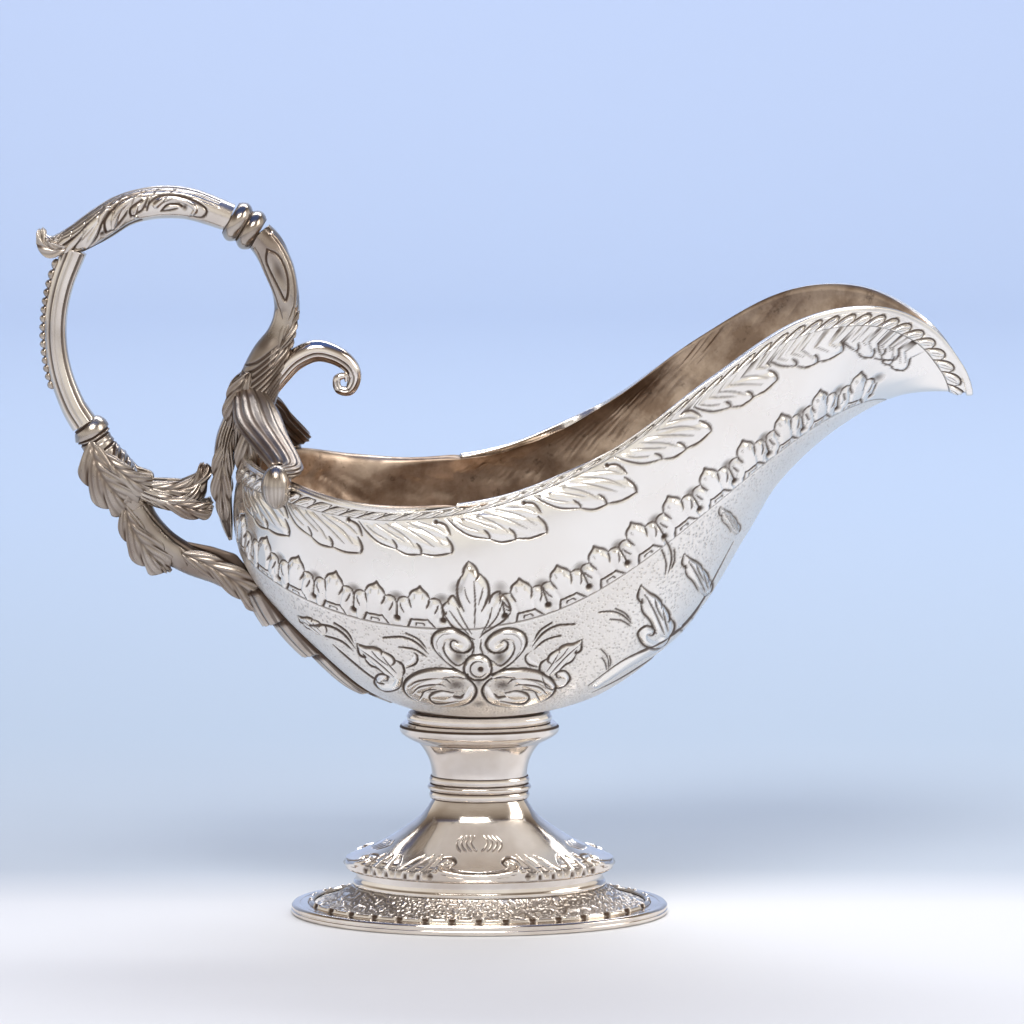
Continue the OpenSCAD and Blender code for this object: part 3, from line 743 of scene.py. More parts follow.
def chase_bowl(p, n, u, v):
    """Everything chased on the near half of the bowl; the far half is its mirror image."""
    relief = Relief(p.shape[:2])
    flat_p, flat_n = p.reshape(-1, 3), n.reshape(-1, 3)
    below = (line_v(360 - u) - v) * np.linalg.norm(np.gradient(p, axis=0), axis=-1)
    below = below / np.gradient(v, axis=0)
    relief.ground[:] = smooth((below.ravel() - 0.4) / 0.8)
    edge = np.clip(1 - (below.ravel() / 0.36) ** 2, 0, 1)
    relief.down = np.maximum(relief.down, 0.22 * edge)
    relief.dark = np.maximum(relief.dark, 0.8 * edge)
    centre = bowl_at(*ROSETTE)
    facing = np.flatnonzero(flat_n @ np.array([0, -1, TILT]) > -0.25)
    q = flat_p[:, 2] + TILT * flat_p[:, 1]
    sheet = Patch(relief, facing, flat_p[facing, 0] - centre[0],
                  q[facing] - centre[2] - TILT * centre[1])
    garland = Track(line_v)
    for s in places(*DROPS):
        if s > 2:
            teardrop(stamp(relief, flat_p, flat_n, garland.frame(s)))
    for s in places(*PALMETTES):
        palmette(stamp(relief, flat_p, flat_n, garland.frame(s)))
    border = Track(lambda a: strip_v(360 - a, np.array([STRIP - 0.6]))[0])
    for s in places(BORDER_LEAVES):
        feather(stamp(relief, flat_p, flat_n, border.frame(s + 11), 22).shifted(11, 0))
    feather(stamp(relief, flat_p, flat_n, border.frame(LAST_LEAF), 20).shifted(8, 0), 17)
    centre_leaf(sheet)
    scrolls(sheet)
    sprig(turned(sheet, (-30.7, 6.0)))
    sprig(turned(sheet, (26.2, 7.2), 6, 0.95, True))
    spray(sheet.shifted(-44, -14))
    sprig(turned(sheet, (-46, 13.0), 4, 0.6), False)
    strokes(turned(sheet, (-12.4, 3.4)))
    strokes(turned(sheet, (13.6, 5.4), 8, 1.0, True))
    strokes(turned(sheet, (-31.2, 4.8), -8, 1.05))
    sheet.cut([(-24, -4.6), (-28, -2.2), (-33, 2.0), (-37, 5.6)], 0.32)
    return relief


def build_bowl():
    half, rows, rows_in = 751, 380, 76
    flip = np.array([1, -1, 1])
    u = even_angles(0.6, half)
    v = np.r_[np.linspace(0, 1 - BORDER, rows), 1 - BORDER * 0.66, 1 - BORDER * 0.33, 1]
    uu, vv = np.meshgrid(u, v)
    p, n = bowl_at(uu, vv), bowl_normal(uu, vv)
    relief = chase_bowl(p, n, uu, vv)
    fade = smooth((1 - 0.3 * BORDER - vv) / 0.012) * smooth(vv / 0.02)
    dents = 0.05 * noise(p.reshape(-1, 3), 7.0, 3).reshape(vv.shape)
    outer = p + n * ((relief.height() + dents - 0.06) * fade)[..., None]
    v_in = np.linspace(1, 0.0, rows_in)
    ui, vi = np.meshgrid(u, v_in)
    pi, ni = bowl_at(ui, vi), bowl_normal(ui, vi)
    nearest = np.abs(v[None, :rows] - np.clip(v_in, 0, 1 - BORDER)[:, None]).argmin(1)
    ghost = relief.up.reshape(vv.shape)[nearest]
    hammered = 0.16 * noise(pi.reshape(-1, 3), 4.2, 11) + 0.07 * noise(pi.reshape(-1, 3), 2.2, 5)
    lift = (hammered.reshape(vi.shape) + 0.8 * ghost) * smooth((1 - vi) / 0.05) * smooth(vi / 0.05)
    inner = pi - ni * (WALL - np.minimum(lift, 0.5))[..., None]
    inner[-1] = pi[-1] + np.array([0, 0, WALL])

    def whole(value):
        return np.concatenate([value, value[:, -2:0:-1]], 1)

    points = np.concatenate([outer, inner])
    points = np.concatenate([points, (points * flip)[:, -2:0:-1]], 1)
    dark = np.concatenate([relief.dark.reshape(vv.shape) * fade, 0.12 * smooth(ghost * 3)])
    ground = np.concatenate([relief.ground.reshape(vv.shape) * fade, 0 * ghost])
    inside = np.concatenate([0 * vv, np.ones_like(vi)])
    shell = Shell()
    shell.grid(points, caps=(True, True), patina=whole(dark), ground=whole(ground),
               inside=whole(inside))
    return shell.build("bowl_sheet", CHASED, ["bowl"])


def along_surface(p):
    """Length along the columns of a grid, measured from its first row."""
    return np.cumsum(np.r_[np.zeros((1, p.shape[1])), np.linalg.norm(np.diff(p, axis=0), axis=-1)], 0)


def border_leaf(p, a):
    """One scallop of the border: a rounded leaf that leans toward the spout."""
    def at(pts):
        return [(a + x, y) for x, y in pts]
    p.raise_(at([(0.6, -5.4), (1.9, -4.4), (3.3, -3.4)]), [1.2, 1.6, 1.2], 0.55, 1.1)
    p.cut(at([(-0.9, -5.9), (0.3, -4.2), (1.9, -2.7), (3.6, -2.3), (4.7, -2.9), (4.9, -4.0)]), 0.3, 0.3,
          0.95, (0.8, 0.5))
    p.cut(at([(0.9, -5.5), (1.9, -4.4), (3.2, -3.6)]), 0.15, 0.15, 0.6)
    p.cut(at([(2.2, -5.6), (2.9, -4.9), (3.8, -4.4)]), 0.14, 0.15, 0.5)


def strip_v(u, depth):
    """Height share that lies a given length below the rim, for each angle."""
    v = np.linspace(1, 0.84, 49)
    p = bowl_at(u[None], v[:, None])
    down = along_surface(p)
    return np.array([np.interp(depth, down[:, k], v) for k in range(len(u))]).T


def build_border():
    half = 1101
    u = even_angles(0.97, half)
    depth = np.linspace(0, STRIP, 30)[::-1]
    vv = strip_v(u, depth)
    uu = u[None] + 0 * vv
    down = depth[:, None] + 0 * vv
    p, n = bowl_at(uu, vv), bowl_normal(uu, vv)
    s = length_along(bowl_at(u, 0.97))
    relief = Relief(p.shape[:2])
    patch = Patch(relief, np.arange(down.size), np.broadcast_to(s, down.shape).ravel(), -down.ravel())
    for a in np.arange(1.0, s[-1] - 3, 5.0):
        border_leaf(patch, a)
    leaf = smooth((down - 1.75) / 0.2)
    foot = smooth((STRIP - down) / 0.45)
    groove = np.clip(1 - ((down - 1.8) / 0.22) ** 2, 0, 1)
    rise = (1 - leaf) * (0.62 + 0.28 * smooth(down / 0.35)) + leaf * (0.3 + relief.height())
    rise = np.clip((rise - 0.15 * groove) * foot, 0.02, BORDER_RISE)
    # painted shadow under the border's lower edge: dark toward its foot, and fully dark on the ring where
    # it meets the bowl
    dark = np.maximum(relief.dark.reshape(down.shape) * leaf, 0.9 * (1 - foot))
    outer = p + n * rise[..., None]
    top = p[-1:] + n[-1:] * np.array([0.4, 0.0, -0.5, -WALL + 0.02])[:, None, None]
    rings = np.concatenate([p[:1], outer, top], 0)
    dark = np.concatenate([np.ones((1, half)), dark, np.zeros((4, half))], 0)
    rings = np.concatenate([rings, (rings * np.array([1, -1, 1]))[:, -2:0:-1]], 1)
    dark = np.concatenate([dark, dark[:, -2:0:-1]], 1)
    return Shell().grid(rings, patina=dark).build(
        "rim_border_leaves", CHASED, ["rim_border"])


# ---- foot and stem -------------------------------------------------------------------------

def round_length(p):
    """Length round one ring, 0 at the near middle."""
    s = length_along(np.vstack([p, p[:1]]))
    total = s[-1]
    front = np.argmin(p[:, 1])
    a = s[:-1] - s[front]
    return (a + total / 2) % total - total / 2, total


def plain_turned(name, node, outline, material, radius=0.3, around=480, toned=()):
    """A turned piece; toned lists the heights of its dark grooves and how wide each is."""
    outline = rounded(outline, radius)
    p = oval_grid(outline, around)
    dark = np.zeros(p.shape[:2])
    for z, wide in toned:
        dark = np.maximum(dark, smooth((wide - np.abs(p[..., 2] - z)) / (0.6 * wide)))
    return Shell().grid(p, loop=True, patina=dark).build(name, material, [node])


def chased_turned(name, node, outer, inner, around, material, work):
    """A turned piece whose outer side, from first to last point of outer, carries relief."""
    p = oval_grid(outer, around)
    n = grid_normals(p, True)
    relief = Relief(p.shape[:2])
    work(relief, p)
    n[0] = n[-1] = 0
    surface = p + n * relief.height()[..., None]
    rings = np.concatenate([surface, oval_grid(inner, around)], 0)
    dark = np.concatenate([relief.dark.reshape(p.shape[:2]), np.zeros((len(inner), around))], 0)
    return Shell().grid(rings, loop=True, patina=dark).build(name, material, [node])


def worms(relief, p, cell, width, weight, seed):
    """Vermicelli: the level lines of smooth noise, cut as winding grooves."""
    flat = p.reshape(-1, 3)
    f = noise(flat, cell, seed) + 0.35 * noise(flat, cell * 0.55, seed + 9)
    f = f.reshape(p.shape[:2])
    slope = np.hypot(np.gradient(f, axis=0) / (np.linalg.norm(np.gradient(p, axis=0), axis=-1) + 1e-6),
                     np.gradient(f, axis=1) / (np.linalg.norm(np.gradient(p, axis=1), axis=-1) + 1e-6))
    best = np.zeros_like(f)
    for level in (-0.42, 0.0, 0.42):
        d = np.abs(f - level) / np.maximum(slope, 0.12)
        best = np.maximum(best, np.clip(1 - (d / width) ** 2, 0, 1))
    best = (best * weight).ravel()
    relief.down = np.maximum(relief.down, 0.22 * best)
    relief.dark = np.maximum(relief.dark, 0.7 * smooth(best * 1.3))


def chase_dome(relief, p):
    rows = np.linspace(0, 1, p.shape[0])[:, None] * np.ones((1, p.shape[1]))
    weight = smooth(rows / 0.06) * smooth((1 - rows) / 0.06)
    worms(relief, p, 1.45, 0.25, weight, 21)
    relief.dark = np.maximum(relief.dark, 0.1 * weight.ravel())


def chase_beads(relief, p):
    a, total = round_length(p[p.shape[0] // 2])
    pitch = total / 33
    near = (a + pitch / 2) % pitch - pitch / 2
    b = along_surface(p)
    patch = Patch(relief, np.arange(b.size), np.broadcast_to(near, b.shape).ravel(), b.ravel())
    mid = b.max() * 0.3
    patch.raise_([(-1.2, b.max() * 0.6), (1.2, b.max() * 0.6)], [0.8, 0.8], 0.3, 0.7)
    patch.dot((0, mid), 0.95, 0.3)
    relief.dark = np.maximum(relief.dark, 0.5 * smooth((b.ravel() - b.max() + 0.5) / 0.5))


def chase_bell(relief, p):
    a, total = round_length(p[1])
    quarter = total / 4
    near = (a + quarter / 2) % quarter - quarter / 2
    b = along_surface(p) - 1.1
    patch = Patch(relief, np.arange(b.size), np.broadcast_to(near, b.shape).ravel(), b.ravel())
    patch.raise_([(-9.4, 6.6), (-11, 5.0), (-9.8, 2.6), (-5, 1.5), (0, 1.2), (5, 1.5), (9.8, 2.6),
                  (11, 5.0), (9.4, 6.6)], [0.7, 0.9, 0.9, 0.8, 0.7, 0.8, 0.9, 0.9, 0.7], 0.6, 0.7)
    for side in (-1, 1):
        patch.raise_([(side * 9.4, 6.6), (side * 7.8, 5.8), (side * 8.3, 4.6)], [0.7, 0.7, 0.5], 0.6, 0.6)
        patch.cut([(side * 12.2, 4.6), (side * 11.2, 7.4), (side * 8.6, 7.6), (side * 6.9, 6.0),
                   (side * 7.8, 4.4)], 0.34, 0.3)
        patch.cut([(side * 8.8, 4.6), (side * 7, 3.2), (side * 3.6, 2.4), (0, 2.2)], 0.34, 0.35, 0.8)
        for k, foot_a in enumerate((14.0, 17.6, 21.2)):
            top = foot_a - 1.6 - 0.8 * k
            pts = [(side * foot_a, 1.4), (side * (foot_a - 0.9), 4.2), (side * top, 8.6)]
            patch.cut(pts, 0.95, 0.55, 0.42, (0.9, 0.25))
            for t in np.linspace(0.1, 0.8, 8):
                x, y = curve(pts, 8)[int(t * 16)]
                patch.cut([(x - 0.5, y), (x + 0.5, y + 0.3)], 0.13, 0.14, 0.7, (1, 1))
            patch.cut([(side * (foot_a + 1.3), 1.0), (side * (foot_a + 0.2), 4.6),
                       (side * (top + 0.9), 8.4)], 0.22, 0.18, 0.6)
            patch.dot((side * (foot_a + 1.8), 0.6), 0.62)
        patch.dot((side * 12.6, 1.0), 0.85)
    patch.cut([(-23, -0.4), (0, -0.5), (23, -0.4)], 0.2, 0.1, 0.5, (1, 1))
    for side in (-1, 1):
        for k in range(4):
            x = 1.9 * k
            wave = [(side * (x + 2), 14.4), (side * (x + 3.4), 12.6), (side * (x + 2.2), 10.8),
                    (side * (x + 0.8), 9.8)]
            patch.cut(wave, 0.26, 0.2, 0.7, (0.6, 0.6))


EDGE_Z = FOOT_HI[2]
DOME_Z = span("foot_dome")[1][2]
COLLAR_Z = span("foot_collar")[1][2]
BELL_Z = span("foot_bell")[1][2]
KNOP_Z = span("stem_knop")[1][2]
MARGIN_R = FOOT_R - 2.2
LINE_R = FOOT_R - 5
DOME_R = FOOT_R * 0.67
LIP_R = FOOT_R * 0.71
KNOP_R = (span("stem_knop")[1][0] - span("stem_knop")[0][0]) / 2
TOP_R = KNOP_R - 1.4


def build_foot_edge():
    plain_turned("foot_edge_moulding", "foot_edge_band",
                 [(MARGIN_R, 0), (FOOT_R - 0.3, 0), (FOOT_R, 0.3), (FOOT_R, 0.95), (FOOT_R - 0.25, 1.1),
                  (FOOT_R - 0.25, 1.3), (FOOT_R - 0.02, 1.45), (FOOT_R - 0.05, EDGE_Z - 0.5),
                  (FOOT_R - 0.6, EDGE_Z), (MARGIN_R, EDGE_Z)], BRIGHT, 0.14, 720)
    plain_turned("foot_margin", "foot_flange",
                 [(LINE_R - 0.9, EDGE_Z - 1), (MARGIN_R, EDGE_Z - 1), (MARGIN_R, EDGE_Z - 0.12),
                  (MARGIN_R - 0.5, EDGE_Z - 0.16), (LINE_R + 0.6, EDGE_Z), (LINE_R - 0.9, EDGE_Z)],
                 BRIGHT, 0.1, 720)


def build_dotted_line():
    t = np.linspace(0, 1, 16)
    bead = np.stack([LINE_R + 0.75 - 1.65 * t, EDGE_Z + 0.02 + 0.85 * np.sin(np.pi * t**0.8) * (1 - 0.3 * t)
                     + 0.55 * t], -1)
    chased_turned("foot_dotted_line", "foot_bead_line", bead,
                  np.array([(LINE_R - 0.9, EDGE_Z), (LINE_R + 0.6, EDGE_Z)]), 1500, MATTED, chase_beads)


def build_dome():
    t = np.linspace(0, 1, 56)
    dome = np.stack([LINE_R - 0.9 + (DOME_R - LINE_R + 0.9) * t,
                     EDGE_Z + (DOME_Z - EDGE_Z) * (0.35 * t + 0.65 * t * t)], -1)
    chased_turned("foot_matted_dome", "foot_dome", dome, dome[::-4] - np.array([0, 1.0]), 1000,
                  MATTED, chase_dome)


def build_foot_collar():
    plain_turned("foot_plain_collar", "foot_collar",
                 [(DOME_R - 2.6, DOME_Z), (DOME_R, DOME_Z), (DOME_R + 0.05, DOME_Z + 0.9),
                  (DOME_R - 0.5, DOME_Z + 1.5), (DOME_R - 0.75, DOME_Z + 2.6), (DOME_R - 0.7, COLLAR_Z),
                  (DOME_R - 2.6, COLLAR_Z)], BRIGHT, 0.3, 600)


def build_bell():
    rise = BELL_Z / 30.2
    low = 14.6 * rise
    shares = [[0, 0], [0.22, 0.13], [0.44, 0.29], [0.7, 0.53], [0.88, 0.74], [1, 1]]
    q = along(shares, np.linspace(0, 1, 96))
    bell = np.stack([LIP_R + (TOP_R - LIP_R) * q[:, 0], low + (BELL_Z - low) * q[:, 1]], -1)
    lip = np.array([(LIP_R - 1, COLLAR_Z + 0.02), (LIP_R - 0.4, COLLAR_Z + 0.1),
                    (LIP_R - 0.08, COLLAR_Z + 0.4), (LIP_R, COLLAR_Z + 0.9),
                    (LIP_R + 0.02, COLLAR_Z + 1.7), (LIP_R, COLLAR_Z + 2.4)])
    outer = np.concatenate([lip, bell])
    inner = np.concatenate([bell[::-6] - np.array([1, 0]), [[DOME_R - 2.6, COLLAR_Z]]])
    chased_turned("foot_chased_bell", "foot_bell", outer, inner, 1100, BRIGHT,
                  chase_bell)


def build_knop():
    step = (KNOP_Z - BELL_Z) / 3
    rings = [(TOP_R - 1, BELL_Z)]
    for k in range(3):
        for i in range(0 if k == 0 else 1, 13):
            rings.append((KNOP_R - 0.9 + (0.9 if k == 1 else 0.45) * math.sin(math.pi * i / 12),
                          BELL_Z + (k + i / 12) * step))
    rings.append((TOP_R - 1, KNOP_Z))
    plain_turned("stem_three_rings", "stem_knop", rings, BRIGHT, 0.08, 360,
                 [(BELL_Z + step, 0.3), (BELL_Z + 2 * step, 0.3), (BELL_Z, 0.3), (KNOP_Z, 0.25)])


def build_spool(top, ring_r):
    t = np.linspace(0, 1, 40)
    line = np.stack([KNOP_R - 1.1 + (ring_r * 0.76 - KNOP_R + 1.1) * t**2.2,
                     KNOP_Z + (top[0][2] - KNOP_Z) * t], -1)
    plain_turned("stem_plain_spool", "stem_spool", np.concatenate([line, line[::-4] - np.array([1, 0])]),
                 BRIGHT, 0.05, 420)


def build_wide_ring(top, ring_r):
    h = top[1][2] - top[0][2]
    t = np.linspace(0, 1, 24)
    body = np.stack([ring_r * 0.76 + ring_r * 0.24 * np.sin(np.minimum(1, t * 1.5) * np.pi / 2)
                     - 0.5 * np.maximum(0, t * 10 - 8), top[0][2] + h * t], -1)
    inner_r = ring_r * 0.76 - 1
    plain_turned("stem_wide_ring", "stem_top_ring",
                 np.concatenate([[[inner_r, top[0][2]]], body, [[inner_r, top[1][2]]]]),
                 BRIGHT, 0.1, 480, [(top[1][2] - 0.9, 0.45)])


def build_seat():
    seat = span("bowl_seat_ring")
    seat_r = (seat[1][0] - seat[0][0]) / 2
    h = seat[1][2] - seat[0][2]
    t = np.linspace(0, 1, 14)
    body = np.stack([seat_r - 0.6 + 0.6 * np.sin(np.pi * t), seat[0][2] + h * 0.8 * t], -1)
    plain_turned("bowl_seat", "bowl_seat_ring",
                 np.concatenate([[[BASE_A - 3, seat[0][2]]], body,
                                 [[BASE_A - 0.4, seat[0][2] + h * 0.86], [BASE_A - 0.4, seat[1][2]],
                                  [BASE_A - 3, seat[1][2]]]]),
                 BRIGHT, 0.1, 420, [(seat[1][2], 0.9), (seat[0][2], 0.35)])


def build_foot_and_stem():
    build_foot_edge()
    build_dotted_line()
    build_dome()
    build_foot_collar()
    build_bell()
    build_knop()
    top = span("stem_top_ring")
    ring_r = (top[1][0] - top[0][0]) / 2
    build_spool(top, ring_r)
    build_wide_ring(top, ring_r)
    build_seat()


# ---- handle --------------------------------------------------------------------------------

RIM_X = FOOT_X - 60 * LONG
RIM_TOP = STEM_Z + 67 * UP
BACK_LINE = [[-43.6, 52.6, 3.4], [-46.9, 44, 3.2], [-48.6, 35.8, 3.1], [-48.7, 27.8, 3.1],
             [-47.4, 20.2, 3.2], [-44.6, 12.6, 3.4], [-41.6, 7.6, 3.7]]
TOP_LINE = [[-52.3, 57.7, 0.9], [-50.6, 54.9, 2], [-47.2, 54.3, 3.2], [-42.4, 55.8, 4.3],
            [-36.6, 59.4, 4.8], [-30.6, 62.9, 4.7], [-24.4, 64.5, 4.7], [-18.4, 64.9, 4.7],
            [-12.4, 64, 4.5], [-3.6, 60.8, 4.1]]
STEM_LINE = [[3.4, 56.6, 3.9], [6.2, 53.2, 4.1], [8.8, 47.4, 3.8], [10.4, 41.5, 3.4],
             [10.6, 36, 3.3], [9.2, 30.6, 3.8], [6.4, 25, 5], [3.9, 19, 5.5], [1.8, 13, 5.5],
             [0, 6.6, 5], [-1.4, 0.4, 3.2]]
THUMB_LINE = [[5.6, 15.2, 2.2], [9.2, 20.4, 2.8], [12.8, 24.2, 3], [17.8, 26.5, 3.1], [22.6, 25.6, 2.8],
              [26.5, 23, 2.4], [28, 19.7, 2], [26.7, 16.5, 1.7], [24, 16.7, 1.5],
              [23.6, 19.2, 1.4], [25.4, 19.9, 1.2], [25.9, 18.6, 0.9]]
BACK_LEAF_LINE = [[-2.6, 11, 2.4], [-5, 4, 2.8], [-6, -3.5, 2.6], [-5.9, -11.5, 2.3],
                  [-5.1, -18, 1.7], [-4.2, -22.6, 0.6]]
SHEATH_LINE = [[-41.6, 7.6, 4.2], [-39.9, 5.6, 5.1], [-38.4, 2.8, 4.6], [-36.6, -0.2, 4.8],
               [-34.7, -3.2, 5.6], [-32.6, -7, 5.5], [-30.6, -11, 5], [-28.8, -14.4, 4.5]]
SPUR_LINE = [[-28.8, -8.6, 3.2], [-25.2, -10.4, 3.1], [-20.5, -11.9, 3.1], [-16.2, -11.8, 3.3],
             [-12.8, -9.6, 3], [-11.2, -5.6, 1.6], [-11.4, -3.4, 0.7]]
OUTER_LINE = [[-32.6, -14, 1.6], [-29.6, -19.4, 2.2], [-26, -24.4, 2.5], [-22.6, -28.2, 2.1],
              [-19.6, -30.8, 0.7]]
BRANCH_LINE = [[-28.8, -14.4, 4.4], [-25.6, -19.4, 4.2], [-21, -24, 4], [-14.6, -27.8, 3.9],
               [-7, -30.8, 3.7], [0.4, -35.4, 3.1]]
WEB = [(-17, -22.8), (-9, -26.4), (1.4, -31.6), (-2.8, -26.4), (-9, -24.4)]


class Rod:
    """A swept bar seen from its side: a runs along it and b across, both in millimetres."""

    def __init__(self, line, flat=1.0, steps=150, around=72, share=None):
        self.share = np.linspace(0, 1, steps) if share is None else share
        q = along(line, self.share)
        c = np.stack([RIM_X + q[:, 0], 0 * q[:, 0], RIM_TOP + q[:, 1]], -1)
        t = unit(np.gradient(c, axis=0))
        n = np.stack([t[:, 2], 0 * t[:, 0], -t[:, 0]], -1)
        angle = np.linspace(0, 2 * np.pi, around, endpoint=False)
        self.cos, self.sin, self.r = np.cos(angle), np.sin(angle), np.maximum(q[:, 2], 0.05)
        self.n, self.c, self.flat = n, c, flat
        self.length = length_along(c)
        self.relief = Relief((steps, around))
        a = np.broadcast_to(self.length[:, None], (steps, around))
        b = self.r[:, None] * self.cos
        self.patch = Patch(self.relief, np.arange(a.size), a.ravel(), b.ravel())

    def at(self, pts):
        """Points given as share along and share across turned into millimetres."""
        s, q = np.array(pts, float).T
        return list(zip(np.interp(s, self.share, self.length), q * np.interp(s, self.share, self.r)))

    def cut(self, pts, width=0.3, depth=0.35, dark=0.95, ends=(0.5, 0.5)):
        self.patch.cut(self.at(pts), width, depth, dark, ends)

    def raise_(self, pts, radii, height, soft=0.8):
        self.patch.raise_(self.at(pts), radii, height, soft)

    # painted shade: a soft dark spot in the colour where a gap or recess of the handle lies in shade
    def shade(self, at, radius, dark, depth=0.2, stretch=(1, 1)):
        self.patch.shade(self.at([at])[0], radius, dark, depth, stretch)

    def rings(self, extra=0.0, sink=0.35):
        extra = np.broadcast_to(extra, self.relief.shape)
        r = np.maximum(self.r[:, None] + extra - sink + self.relief.height(), 0.04)
        side = np.array([0, 1.0, 0])
        return (self.c[:, None] + (r * self.cos)[..., None] * self.n[:, None]
                + (r * self.flat * self.sin)[..., None] * side)

    def into(self, shell, extra=0.0, sink=0.35, patina=None):
        dark = self.relief.dark.reshape(self.relief.shape)
        if patina is not None:
            dark = np.maximum(dark, patina)
        return shell.grid(self.rings(extra, sink), caps=(True, True), patina=dark)


def build_back_tube():
    rod = Rod(BACK_LINE, steps=230, around=84)
    for q in (0.5, -0.7):
        rod.cut([(0.02, q), (0.3, q), (0.6, q), (0.98, q * 0.9)], 0.36, 0.5, 0.85, (1, 1))
    rod.cut([(0.02, 0.05), (0.5, 0.0), (0.98, 0.05)], 0.2, 0.15, 0.35, (1, 1))
    shell = rod.into(Shell(), sink=0.15)
    shell.build("handle_back_stem", MATTED, ["back_tube"])
    share = np.linspace(0.08, 0.72, 260)
    rod = Rod(BACK_LINE, share=share, steps=260, around=8)
    count = 15
    wave = np.abs(np.sin(np.linspace(0, count * np.pi, len(share))))
    t = np.linspace(-90, 90, 13)
    height = 0.35 + 1.05 * wave**0.6
    middle = rod.c + rod.n * (rod.r - 0.35)[:, None]
    across = np.sin(np.radians(t)) * (0.7 + 0.7 * wave[:, None] ** 0.5)
    up = np.cos(np.radians(t)) * height[:, None]
    arc = middle[:, None] + up[..., None] * rod.n[:, None] + across[..., None] * np.array([0, 1.0, 0])
    dark = smooth(1 - wave / 0.55)[:, None] * np.ones(len(t))
    Shell().grid(arc, caps=(True, True), patina=dark).build(
        "handle_bead_row", CAST, ["bead_ridge"])


def leaf(points, widths, lobes=4, face=(0, -1, 0), dome=0.55, thick=1.0, sweep=1.15, notch=0.3,
         rows=72, cols=37):
    """A cast acanthus leaf: a domed, veined sheet with lobes down both of its edges."""
    s = np.linspace(0, 1, rows)
    c, w = along(points, s), np.maximum(along(widths, s), 0.12)
    t = unit(np.gradient(c, axis=0))
    b = unit(np.cross(np.array(face, float), t))
    n = unit(np.cross(t, b))
    j = np.linspace(-1, 1, cols)[None]
    lobes = lobes * 0.8
    wave = np.abs(np.sin(np.pi * (lobes * s[:, None] + 0.12)))
    edge = 1 - notch * np.abs(j) ** 2 * (1 - wave ** 0.7)
    out = (w[:, None] * edge * j)[..., None] * b[:, None]
    ahead = (sweep * w[:, None] * np.abs(j) ** 1.6)[..., None] * t[:, None]
    fine = np.cos(2 * np.pi * (lobes * s[:, None] * 2.0 - 0.5 * np.abs(j) * lobes))
    rise = w[:, None] * dome * (1 - j * j) * 0.5 + 0.35 * wave * np.abs(j) ** 0.5 + 0.1 * fine
    rise = rise - 0.3 * np.exp(-(j / 0.1) ** 2)
    top = c[:, None] + out + ahead + rise[..., None] * n[:, None]
    under = c[:, None] + out * 0.96 + ahead + (rise * 0.4 - thick)[..., None] * n[:, None]
    dark = 0.95 * smooth((0.42 - wave) / 0.3) * smooth(np.abs(j) * 1.8 - 0.2)
    dark = np.maximum(dark, 0.7 * np.exp(-(j / 0.09) ** 2))
    dark = np.maximum(dark, 0.62 * smooth((-fine - 0.2) / 0.5) * (1 - 0.3 * np.abs(j)))
    dark = np.maximum(dark, 0.2 + 0.2 * (1 - wave) + 0 * j)
    rings = np.concatenate([top, under[:, ::-1]], 1)
    return rings[:, ::-1], np.concatenate([dark, 0.4 + 0 * dark], 1)[:, ::-1]


def pair_of_leaves(shell, points, widths, **style):
    """The same leaf on the near and on the far side; points are (x, z, distance from middle)."""
    for side in (-1, 1):
        line = [place(x, side * y, z) for x, z, y in points]
        rings, dark = leaf(line, widths, face=(0, side, 0), **style)
        shell.grid(rings, caps=(True, True), patina=dark)


def place(x, y, z):
    return np.array([RIM_X + x, y, RIM_TOP + z])


